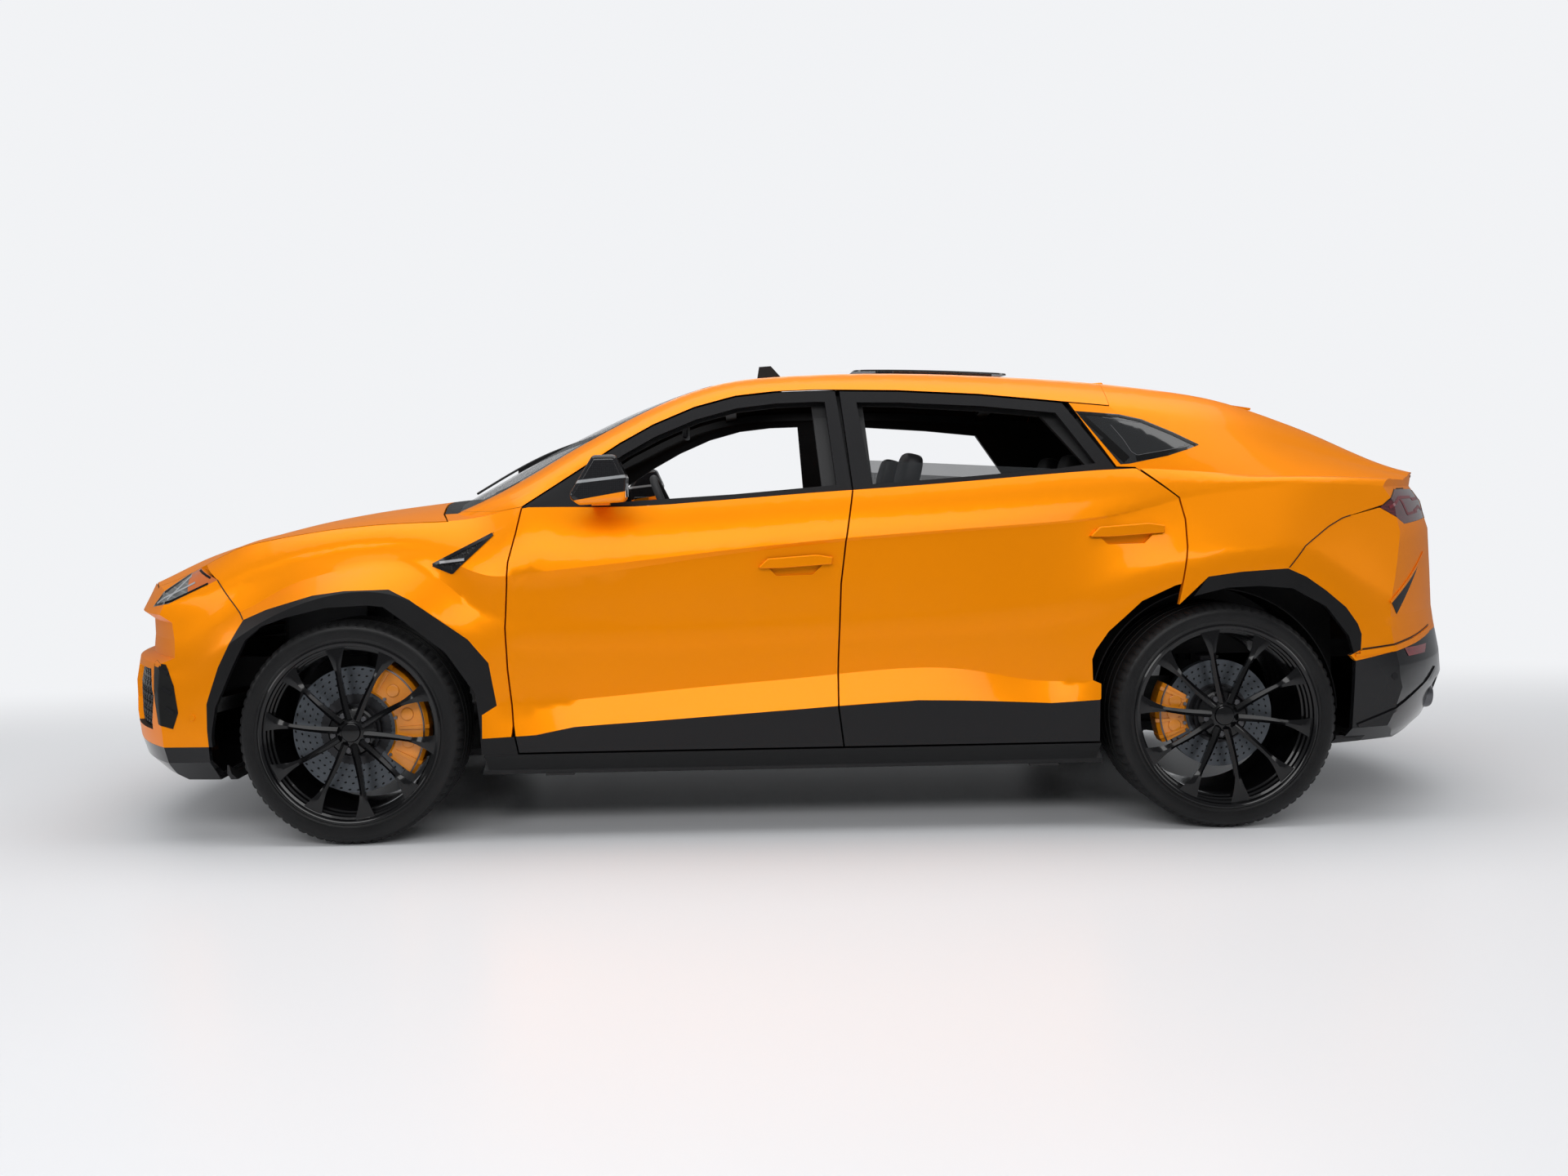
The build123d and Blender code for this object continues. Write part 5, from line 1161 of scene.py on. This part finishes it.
class VEHICLE_OT_grilles(bpy.types.Operator):
    """Hexagon mesh in the nose's intakes and the fender vents"""
    bl_idname = "vehicle.grilles"
    bl_label = "Grilles and vents"

    def execute(self, context):
        sizes = size_settings()
        gloss = material(gloss_plastic, MESH_BLACK)
        silver = material(gloss_plastic, (0.30, 0.30, 0.31))
        skin, nose = surface_of("grilles"), surface_of("front_bumper")
        around = surface_of("grilles", "front_fenders")

        def on_nose(point):
            hit = skin.ray_cast(Vector((-BEHIND, point.x, point.y)), Vector((1, 0, 0)))
            return Vector((hit[0].x - 0.0045 + point.z, point.x, point.y)) if hit[0] else None

        mirror = tuple((-y, z) for y, z in SIDE_INTAKE)
        for name, outline in (("upper_slot", SLOT), ("centre_intake", CENTRE_INTAKE),
                              ("left_intake", SIDE_INTAKE), ("right_intake", mirror)):
            bars = hexagon_mesh(outline, sizes.mesh_cell, sizes.mesh_wire, on_nose)
            place_piece(bars, f"{name}_mesh", "body", gloss, smooth=False)
        for side, sign in SIDES:
            patch = side_patch(CORNER_VENT, sign, nose, 0.0006, 0.0010, 10)
            matt = material(satin_plastic, (0.006, 0.006, 0.006))
            place_piece(patch, f"corner_vent_{side}", "body", matt)
            slats = side_bands(CORNER_SLATS, sign, 0.012, nose, 0.0010, 0.0025, 12, 2)
            place_piece(slats, f"corner_vent_slats_{side}", "body", gloss)

            def on_fender(point):
                hit = skin.ray_cast(Vector((point.x, sign * OUTSIDE, point.y)), Vector((0, -sign, 0)))
                if hit[0] is None or abs(hit[1].y) < 0.6:
                    return None
                return Vector((point.x, hit[0].y + sign * (0.0015 + point.z), point.y))

            bars = hexagon_mesh(FENDER_VENT, 0.0125, 0.0030, on_fender)
            place_piece(bars, f"fender_vent_mesh_{side}", "body", gloss, smooth=False)
            edges = zip(FENDER_VENT, FENDER_VENT[1:] + FENDER_VENT[:1])
            rim = side_bands(edges, sign, 0.011, around, 0.0010, 0.0025, 24)
            place_piece(rim, f"fender_vent_rim_{side}", "body", gloss)
            bar = side_bands((VENT_BAR,), sign, 0.009, skin, 0.0010, 0.0055, 20)
            place_piece(bar, f"fender_vent_bar_{side}", "body", silver)
        return {"FINISHED"}


TAIL_REFLECTOR = ((2.090, 0.600), (2.245, 0.597), (2.225, 0.568), (2.110, 0.570))
TAIL_VENT = ((2.215, 0.872), (2.034, 0.759), (2.060, 0.718))
TAIL_VENT_EDGE = ((2.270, 0.918), (2.150, 0.838), (2.028, 0.762))
TAIL_LEDGE = ((1.890, 0.590), (2.025, 0.603), (2.160, 0.620), (2.290, 0.642))
TAIL_LEDGE_SHADOW = ((1.890, 0.604), (2.025, 0.617), (2.160, 0.634), (2.290, 0.656))
DIFFUSER_RIDGE = ((2.310, 0.500), (2.094, 0.409), (1.910, 0.338))


FIN_PLACES = (-0.36, -0.22, -0.08, 0.08, 0.22, 0.36)


class VEHICLE_OT_trim(bpy.types.Operator):
    """Wipers, sensors, reflectors, plate, diffuser fins, tail vents, exhaust tips and the roof aerial"""
    bl_idname = "vehicle.trim"
    bl_label = "Small trim"

    WIPERS = (("left", (-1.215, -0.36), (-0.880, 0.02)), ("right", (-1.235, 0.16), (-0.900, 0.56)))

    def wipers(self, black):
        """Arms that rise over the glass from their pivots, each with a blade laid on it."""
        skin = surface_of("windscreen", "cowl_panel")
        for name, pivot, tip in self.WIPERS:
            arm, stations, clearance, arch = [], 7, 0.012, 0.006
            for i in range(stations):
                share = i / (stations - 1)
                x, y = pivot[0] + (tip[0] - pivot[0]) * share, pivot[1] + (tip[1] - pivot[1]) * share
                hit = skin.ray_cast(Vector((x, y, 2.2)), Vector((0, 0, -1)))
                arm.append((x, y, hit[0].z + clearance + arch * sin(pi * share)))
            run = Vector((tip[0] - pivot[0], tip[1] - pivot[1], 0)).normalized()
            end = Vector((*tip, 2.0))
            blade = laid_band([end - run * 0.30, end + run * 0.26], 0.010, skin, (0, 0, -1), 0.0008, 0.0140)
            wiper = add_into(tube(arm, 0.0045), blade)
            place_piece(wiper, f"wiper_{name}", "body", black)

    def sensors(self, paint, black):
        nose, tail = surface_of("front_bumper"), surface_of("rear_diffuser", "rear_bumper")
        for name, skin, start, along, finish in (
                ("front_corner", nose, (-2.096, OUTSIDE, 0.449), (0, -1, 0), paint),
                ("rear_corner", tail, (2.035, OUTSIDE, 0.508), (0, -1, 0), black),
                ("rear", tail, (BEHIND, 0.35, 0.560), (-1, 0, 0), black)):
            for side, sign in SIDES:
                mirror = Vector((1, sign, 1))
                place, normal, _, _ = skin.ray_cast(Vector(start) * mirror, Vector(along) * mirror)
                turn = normal.to_track_quat("Z", "Y").to_matrix().to_4x4()
                disc = peg(place + normal * 0.0008, 28, 0.0125, 0.003, turn, 0.0112)
                place_piece(disc, f"parking_sensor_{name}_{side}", "body", finish)

    def gate_band(self, name, half, height, width, finish, lift=0.0007, thickness=0.001, steps=50, rows=1):
        """A band across the tailgate."""
        line = [(BEHIND, -half, height), (BEHIND, half, height)]
        band = laid_band(line, width, surface_of("tailgate"), (-1, 0, 0), lift, thickness, steps, rows)
        place_piece(band, name, "tailgate", finish)

    def tail_details(self, paint, black, red, dark, white):
        rear, diffuser = surface_of("rear_bumper", "rear_diffuser"), surface_of("rear_diffuser")
        for side, sign in SIDES:
            reflector = side_patch(TAIL_REFLECTOR, sign, rear, thickness=0.0016)
            place_piece(reflector, f"rear_reflector_{side}", "body", red)
            place_piece(side_patch(TAIL_VENT, sign, rear), f"tail_vent_{side}", "body", dark)
            for name, line, width, rise, finish in (
                    ("tail_vent_edge", TAIL_VENT_EDGE, 0.009, 0.0045, paint),
                    ("tail_ledge", TAIL_LEDGE, 0.020, 0.0060, paint),
                    ("tail_ledge_shadow", TAIL_LEDGE_SHADOW, 0.004, 0.0010, black),
                    ("diffuser_ridge", DIFFUSER_RIDGE, 0.012, 0.0070, dark)):
                band = side_bands((line,), sign, width, rear, thickness=rise, steps=50, rows=2)
                place_piece(band, f"{name}_{side}", "body", finish)
        self.gate_band("tail_panel", 0.535, 1.092, 0.105, dark, steps=60, rows=5)
        self.gate_band("plate", 0.152, 0.915, 0.152, white, 0.0010, 0.0040, 24, 8)
        for i, y in enumerate(FIN_PLACES):
            line = [(BEHIND, y, 0.310), (BEHIND, y, 0.440)]
            fin = laid_band(line, 0.012, diffuser, (-1, 0, 0), 0.0008, 0.0060, 16)
            place_piece(fin, f"diffuser_fin_{i}", "body", black)
        self.gate_band("tail_lip", 0.545, 1.196, 0.008, black)

    def exhausts(self, steel):
        """Twin double-walled tips on each side, cut off just inside the bumper's corner."""
        tips = bmesh.new()
        for _, sign in SIDES:
            for y, end in ((0.525, 2.350), (0.640, 2.300)):
                section = [(0.055, 2.210), (0.055, end - 0.006), (0.053, end), (0.049, end),
                           (0.047, end - 0.008), (0.047, 2.222), (0.020, 2.216), (0.0005, 2.214),
                           (0.0005, 2.210)]
                tip = turned(section, (0, 0, 0, 1), 48)
                turn = Matrix.Translation((0, sign * y, 0.405)) @ Matrix.Rotation(radians(-90), 4, "Z")
                bmesh.ops.transform(tip, matrix=turn, verts=tip.verts)
                add_into(tips, tip)
        piece = place_piece(tips, "exhaust_tips_polished", "body", steel)
        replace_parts(piece, "exhaust_tips")

    def aerial(self, paint):
        """A small fin over the rear seats."""
        foot = surface_of("roof_panel").ray_cast(Vector((1.26, 0, 2.2)), Vector((0, 0, -1)))[0].z
        half = 0.014
        outline = [(x, -half, foot + rise) for x, rise in (
            (1.17, 0.018), (1.255, 0.044), (1.300, 0.046), (1.312, -0.008), (1.18, 0.010))]
        place_piece(slab(outline, (0, half * 2, 0), 0.006), "roof_aerial", "body", paint)

    def execute(self, context):
        paint = body_paint()
        black = material(satin_plastic, MESH_BLACK)
        gloss = material(gloss_plastic, GLOSS_BLACK)
        red = material(tail_lens, (0.22, 0.008, 0.012))
        self.wipers(black)
        self.sensors(paint, gloss)
        self.tail_details(paint, black, red, gloss, material(plate_board, (0.62, 0.63, 0.64)))
        self.aerial(paint)
        self.exhausts(material(brushed_steel, (0.16, 0.16, 0.17)))
        return {"FINISHED"}


# ---------------------------------------------------------------- cabin
SEWN_DEPTH = 0.006


def cushion(low, high, crown=0.55, cuts=11, channels=0):
    """A padded block with full faces, pulled-in edges and sewn channels across its top."""
    bm = bmesh.new()
    bmesh.ops.create_cube(bm, size=2.0)
    bmesh.ops.subdivide_edges(bm, edges=bm.edges[:], cuts=cuts, use_grid_fill=True)
    low, high = Vector(low), Vector(high)
    middle, half = (low + high) / 2, (high - low) / 2
    for vertex in bm.verts:
        u = vertex.co.copy()
        v = u / (abs(u.x) ** 6 + abs(u.y) ** 6 + abs(u.z) ** 6) ** (1 / 6)
        full = 1 - 0.10 * crown * (v.x ** 2 * v.y ** 2 + v.z ** 2 * (v.x ** 4 + v.y ** 4))
        place = v * half * full
        if channels and u.z > 0.5:
            groove = max(0.0, cos(v.x * pi * channels)) ** 10
            place.z -= SEWN_DEPTH * groove * max(0.0, 1 - v.y ** 6)
        vertex.co = middle + place
    bmesh.ops.smooth_vert(bm, verts=bm.verts, factor=0.35 * min(1, min(half) * 12), use_axis_x=True,
                          use_axis_y=True, use_axis_z=True)
    return bm


class VEHICLE_OT_seats(bpy.types.Operator):
    """Front bucket seats and the rear bench, padded and piped"""
    bl_idname = "vehicle.seats"
    bl_label = "Seats"

    SEAT_MIDDLE = 0.385
    SEAT_LEAN = 14.5
    BENCH_LEAN = 13.5
    PLACE_SPACING = 0.42
    PLACE_HALF = 0.205

    def pad(self, bm, name, finish, turn=None):
        if turn:
            bmesh.ops.transform(bm, matrix=turn, verts=bm.verts)
        piece = place_piece(bm, name, "body", finish, sharp=1.2)
        smooth = piece.modifiers.new("subdivision", "SUBSURF")
        smooth.levels = smooth.render_levels = 1
        return piece

    def front_seat(self, side, sign, leather, accent, plastic):
        y = sign * self.SEAT_MIDDLE
        lean = Matrix.Translation((0.19, y, 0.50)) @ Matrix.Rotation(radians(self.SEAT_LEAN), 4, "Y")
        base = add_into(brick((-0.245, y - 0.195, 0.239), (0.205, y + 0.195, 0.425), 0.02, 3),
                        brick((-0.285, y - 0.215, 0.400), (0.235, y + 0.215, 0.455), 0.02, 3))
        holder = place_piece(base, f"seat_base_{side}", "body", plastic)
        self.pad(cushion((-0.285, y - 0.150, 0.435), (0.190, y + 0.150, 0.552), channels=5),
                 f"seat_cushion_{side}", leather)
        for name, offset in (("inner", -0.188), ("outer", 0.188)):
            middle = y + offset
            self.pad(cushion((-0.270, middle - 0.042, 0.430), (0.220, middle + 0.042, 0.590), 0.9, 7),
                     f"seat_bolster_{name}_{side}", leather)
            self.pad(cushion((-0.045, offset - 0.045, 0.06), (0.075, offset + 0.045, 0.60), 0.9, 7),
                     f"seat_wing_{name}_{side}", leather, lean)
        self.pad(cushion((0.010, -0.150, 0.02), (0.105, 0.150, 0.68), 0.8), f"seat_back_{side}",
                 leather, lean)
        self.pad(cushion((-0.012, -0.105, 0.10), (0.030, 0.105, 0.56), 0.7), f"seat_insert_{side}",
                 accent, lean)
        self.pad(cushion((0.020, -0.125, 0.715), (0.105, 0.125, 0.865), 0.8, 7), f"head_rest_{side}",
                 leather, lean)
        shell = slab([(0.098, -0.190, 0.02), (0.098, 0.190, 0.02), (0.098, 0.215, 0.45), (0.098, 0.150, 0.70),
                      (0.098, -0.150, 0.70), (0.098, -0.215, 0.45)], (0.022, 0, 0), 0.008)
        bmesh.ops.transform(shell, matrix=lean, verts=shell.verts)
        for offset in (-0.05, 0.05):
            post = tube([(0.062, offset, 0.62), (0.062, offset, 0.76)], 0.006, kind="POLY")
            bmesh.ops.transform(post, matrix=lean, verts=post.verts)
            add_into(shell, post)
        place_piece(shell, f"seat_shell_{side}", "body", plastic)
        return holder

    def rear_bench(self, leather, accent):
        lean = Matrix.Translation((1.00, 0, 0.58)) @ Matrix.Rotation(radians(self.BENCH_LEAN), 4, "Y")
        first, half = None, self.PLACE_HALF
        for name, y in (("left", -self.PLACE_SPACING), ("middle", 0.0), ("right", self.PLACE_SPACING)):
            piece = self.pad(cushion((0.570, y - half, 0.335), (1.000, y + half, 0.588), 0.5, 9, 4),
                             f"bench_cushion_{name}", leather)
            first = first or piece
            self.pad(cushion((-0.080, y - half * 0.93, 0.02), (0.060, y + half * 0.93, 0.59), 0.6, 9),
                     f"bench_back_{name}", leather, lean)
            self.pad(cushion((-0.040, y - 0.115, 0.625), (0.040, y + 0.115, 0.755), 0.8, 7),
                     f"bench_head_{name}", leather, lean)
            self.pad(cushion((-0.096, y - 0.095, 0.10), (-0.060, y + 0.095, 0.46), 0.6, 7),
                     f"bench_insert_{name}", accent, lean)
        return first

    def execute(self, context):
        colours = finish_settings()
        leather = material(grained_leather, colours.leather)
        accent = material(grained_leather, colours.accent)
        plastic = material(satin_plastic, CABIN_BLACK)
        for side, sign in SIDES:
            holder = self.front_seat(side, sign, leather, accent, plastic)
            if side == "left":
                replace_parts(holder, "front_seats")
        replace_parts(self.rear_bench(leather, accent), "rear_seat")
        return {"FINISHED"}


def hexagon_ring(centre, radius):
    """A hexagonal vent bezel that faces the tail."""
    joined = bmesh.new()
    turn = Matrix.Translation(centre) @ Matrix.Rotation(radians(90), 4, "Y")
    bmesh.ops.create_circle(joined, cap_ends=True, segments=6, radius=radius, matrix=turn)
    bmesh.ops.inset_region(joined, faces=joined.faces[:], thickness=0.008, depth=0.004)
    bmesh.ops.solidify(joined, geom=joined.faces[:], thickness=0.006)
    return joined


class VEHICLE_OT_cabin(bpy.types.Operator):
    """Dash, screens, steering wheel, door cards, pedals and carpets"""
    bl_idname = "vehicle.cabin"
    bl_label = "Cabin trim"

    CARD_LENGTHS = (("front", -0.860, 0.050), ("rear", 0.260, 0.920))
    CARD_PLACE = 0.880
    CARD_THICKNESS = 0.032
    CARD_FOOT = 0.46
    CARD_TOP = 0.86

    def door_cards(self, leather, accent, plastic, steel):
        foot, top = self.CARD_FOOT, self.CARD_TOP
        for side, sign in SIDES:
            y, inner = sign * self.CARD_PLACE, -sign * self.CARD_THICKNESS
            for end, x0, x1 in self.CARD_LENGTHS:
                body = f"{end}_door_{side}"
                outline = [(x0, y, foot), (x1, y, foot), (x1 + 0.02, y, 0.80), (x1, y, top), (x0, y, top),
                           (x0 - 0.02, y, 0.62)]
                card = slab(outline, (0, inner, 0), 0.006)
                place_piece(card, f"{end}_door_card_{side}", body, leather)
                corners = sorted_corners((x0 + 0.16, y, 0.700), (x1 - 0.08, y - sign * 0.090, 0.748))
                place_piece(brick(*corners, 0.014, 3), f"{end}_arm_rest_{side}", body, accent)
                pull = tube([(x0 + 0.10, y + inner * 0.9, 0.79), (x0 + 0.13, y + inner * 1.9, 0.80),
                             (x0 + 0.24, y + inner * 1.9, 0.81), (x0 + 0.27, y + inner * 0.9, 0.81)], 0.008)
                place_piece(pull, f"{end}_door_pull_{side}", body, steel)
                speaker = softened(peg((x0 + 0.14, y + inner, 0.57), 40, 0.075, 0.012), 0.003)
                place_piece(speaker, f"{end}_speaker_{side}", body, plastic)

    def dash_details(self, leather, screen, steel, plastic):
        carry_over("dashboard", leather)
        for name, low, high, bevel in (
                ("instrument_screen", (-0.745, -0.510, 1.075), (-0.735, -0.260, 1.135), 0.003),
                ("upper_screen", (-0.700, -0.130, 0.930), (-0.602, 0.130, 1.060), 0.006),
                ("lower_screen", (-0.760, -0.120, 0.700), (-0.662, 0.120, 0.860), 0.006)):
            place_piece(brick(low, high, bevel), name, "body", screen)
        for i, y in enumerate((-0.66, -0.20, 0.20, 0.66)):
            vent = hexagon_ring((-0.592, y, 1.035), 0.045)
            place_piece(vent, f"air_vent_{i}", "body", steel)
        lever = add_into(tube([(-0.30, 0, 0.630), (-0.30, 0, 0.700)], 0.012, kind="POLY"),
                         brick((-0.345, -0.026, 0.690), (-0.255, 0.026, 0.722), 0.010, 3))
        place_piece(lever, "gear_lever", "body", steel)
        arm = cushion((-0.130, -0.085, 0.625), (0.170, 0.085, 0.690), 0.5, 7)
        piece = place_piece(arm, "centre_arm_rest", "body", leather)
        mirror = brick((-0.430, -0.110, 1.415), (-0.408, 0.110, 1.480), 0.008, 3)
        add_into(mirror, tube([(-0.425, 0, 1.470), (-0.455, 0, 1.505), (-0.470, 0, 1.545)], 0.007))
        place_piece(mirror, "cabin_mirror", "body", plastic)
        for name, x, y in (("brake", -0.94, -0.40), ("throttle", -0.95, -0.27)):
            pedal = add_into(brick((x, y - 0.035, 0.32), (x + 0.012, y + 0.035, 0.42), 0.004),
                             tube([(x, y, 0.40), (x - 0.05, y, 0.62)], 0.008, kind="POLY"))
            place_piece(pedal, f"{name}_pedal", "body", steel)

    def linings(self, fabric):
        inner, outer, foot, top = 0.160, 0.760, 0.2385, 0.2465
        for name, x0, x1 in (("footwell", -1.030, -0.340), ("rear_footwell", -0.275, 0.510)):
            for side, sign in SIDES:
                low, high = sorted_corners((x0, sign * inner, foot), (x1, sign * outer, top))
                place_piece(brick(low, high, 0.003), f"{name}_carpet_{side}", "body", fabric)

    def execute(self, context):
        colours = finish_settings()
        leather = material(grained_leather, colours.leather)
        accent = material(grained_leather, colours.accent)
        plastic = material(satin_plastic, CABIN_BLACK)
        steel = material(brushed_steel, CABIN_STEEL)
        self.door_cards(leather, accent, plastic, steel)
        self.dash_details(leather, material(screen_glass, (0.006, 0.007, 0.009)), steel, plastic)
        carry_over("steering_wheel", leather, sharp=0.9)
        self.linings(material(woven_fabric, (0.020, 0.020, 0.021)))
        return {"FINISHED"}


class VEHICLE_OT_engine_bay(bpy.types.Operator):
    """Cover, intake pipes and strut brace under the bonnet"""
    bl_idname = "vehicle.engine_bay"
    bl_label = "Engine bay"

    def execute(self, context):
        low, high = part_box("engine_block")
        plastic = material(satin_plastic, (0.012, 0.012, 0.013))
        steel = material(brushed_steel, CABIN_STEEL)
        cover = brick((low.x + 0.06, low.y + 0.05, high.z - 0.004),
                      (high.x - 0.08, high.y - 0.05, high.z + 0.045), 0.018, 3)
        ribs, spacing = 6, 0.078
        for i in range(ribs):
            x = low.x + 0.12 + i * spacing
            rib = brick((x, low.y + 0.09, high.z + 0.040), (x + 0.020, high.y - 0.09, high.z + 0.056), 0.005)
            add_into(cover, rib)
        place_piece(cover, "engine_cover", "body", plastic)
        pipes = bmesh.new()
        for _, sign in SIDES:
            route = [(-2.02, sign * 0.20, 0.86), (-2.12, sign * 0.24, 0.84), (-2.16, sign * 0.42, 0.78),
                     (-2.10, sign * 0.52, 0.72)]
            add_into(pipes, tube(route, 0.035, 12))
        place_piece(pipes, "intake_pipes", "body", plastic)
        brace = tube([(-1.553, -0.52, 0.900), (-1.60, -0.30, 0.990), (-1.60, 0.30, 0.990),
                      (-1.553, 0.52, 0.900)], 0.013, 10)
        place_piece(brace, "strut_brace", "body", steel)
        return {"FINISHED"}


# ---------------------------------------------------------------- studio
class VEHICLE_OT_stage(bpy.types.Operator):
    """Pale studio with soft lamps and the camera"""
    bl_idname = "vehicle.stage"
    bl_label = "Studio"

    BACKDROP = (0.885, 0.895, 0.915)
    LAMPS = (("ceiling", (0, -0.5, 5.2), (0, 0, 0), 9.0, 5.0, 300),
             ("near_side", (-1.0, -6.6, 4.2), (0, 0, 0.7), 8.0, 2.0, 225),
             ("far_side", (1.0, 6.0, 4.6), (0, 0, 0.8), 6.0, 2.0, 70),
             ("nose", (-6.5, -1.0, 2.6), (-1, 0, 0.7), 3.0, 2.0, 50),
             ("tail", (6.5, -1.5, 2.6), (1, 0, 0.8), 3.0, 2.0, 40))
    FLOOR_SIZE = 60.0
    AMBIENT = 0.26
    LENS = 31.7
    SHIFT = (0.0234, -0.0547)
    EYE = (-0.173, -5.7, 1.15)
    TURN = -1.18

    def floor(self):
        bm = bmesh.new()
        bmesh.ops.create_grid(bm, x_segments=2, y_segments=2, size=self.FLOOR_SIZE)
        piece = linked_object("studio_floor", bm)
        piece.data.materials.append(studio_floor((0.80, 0.81, 0.83), self.BACKDROP))

    def lamp(self, name, place, target, size, size_y, power):
        data = bpy.data.lights.new(name, "AREA")
        data.shape = "RECTANGLE"
        data.size = size
        data.size_y = size_y
        data.energy = power
        lamp = bpy.data.objects.new(name, data)
        lamp.location = place
        lamp.rotation_euler = (Vector(target) - Vector(place)).to_track_quat("-Z", "Y").to_euler()
        bpy.context.scene.collection.objects.link(lamp)

    def world(self):
        """Dim light for the vehicle and the pale backdrop for the camera, also through glass."""
        s = Shader("studio", "worlds")
        bpy.context.scene.world = s.owner
        camera_ray = s.node("ShaderNodeLightPath", output="Is Camera Ray")
        glass_ray = s.node("ShaderNodeLightPath", output="Is Transmission Ray")
        sky = (0.95, 0.97, 1.0, 1)
        ambient = s.node("ShaderNodeBackground", {}, {"Color": sky, "Strength": self.AMBIENT})
        seen = s.node("ShaderNodeBackground", {}, {"Color": rgba(self.BACKDROP), "Strength": 1.0})
        either = camera_ray.maths("MAXIMUM", camera_ray, glass_ray)
        mix = s.node("ShaderNodeMixShader", {}, {0: either, 1: ambient, 2: seen})
        s.node("ShaderNodeOutputWorld", {}, {"Surface": mix})

    def camera(self):
        data = bpy.data.cameras.new("camera")
        data.lens = self.LENS
        data.sensor_width = 36
        data.shift_x, data.shift_y = self.SHIFT
        camera = bpy.data.objects.new("camera", data)
        turn = Matrix.Rotation(radians(90), 4, "X") @ Matrix.Rotation(radians(self.TURN), 4, "Z")
        camera.matrix_world = Matrix.Translation(self.EYE) @ turn
        bpy.context.scene.collection.objects.link(camera)
        bpy.context.scene.camera = camera

    def execute(self, context):
        self.floor()
        self.world()
        for lamp in self.LAMPS:
            self.lamp(*lamp)
        self.camera()
        context.scene.view_settings.view_transform = "Standard"
        return {"FINISHED"}


class VEHICLE_PT_panel(bpy.types.Panel):
    """Builds the vehicle's pieces one group at a time"""
    bl_idname = "VEHICLE_PT_panel"
    bl_label = "Sport utility vehicle"
    bl_space_type = "VIEW_3D"
    bl_region_type = "UI"
    bl_category = "Vehicle"

    def draw(self, context):
        for group in (context.scene.vehicle_finish, context.scene.vehicle_sizes):
            for name in group.__annotations__:
                self.layout.prop(group, name)
        for operator in OPERATORS:
            self.layout.operator(operator.bl_idname)


OPERATORS = (VEHICLE_OT_panels, VEHICLE_OT_seams, VEHICLE_OT_tyres, VEHICLE_OT_wheels, VEHICLE_OT_brakes,
             VEHICLE_OT_glass, VEHICLE_OT_lamps, VEHICLE_OT_mirrors, VEHICLE_OT_grilles, VEHICLE_OT_trim,
             VEHICLE_OT_seats, VEHICLE_OT_cabin, VEHICLE_OT_engine_bay, VEHICLE_OT_stage)
CLASSES = (VehicleFinish, VehicleSizes, *OPERATORS, VEHICLE_PT_panel)


def register():
    for cls in CLASSES:
        bpy.utils.register_class(cls)
    bpy.types.Scene.vehicle_finish = bpy.props.PointerProperty(type=VehicleFinish)
    bpy.types.Scene.vehicle_sizes = bpy.props.PointerProperty(type=VehicleSizes)


def unregister():
    del bpy.types.Scene.vehicle_finish
    del bpy.types.Scene.vehicle_sizes
    for cls in reversed(CLASSES):
        bpy.utils.unregister_class(cls)


def main():
    register()
    for operator in OPERATORS:
        getattr(bpy.ops.vehicle, operator.bl_idname.split(".")[1])()


if __name__ == "__main__":
    main()
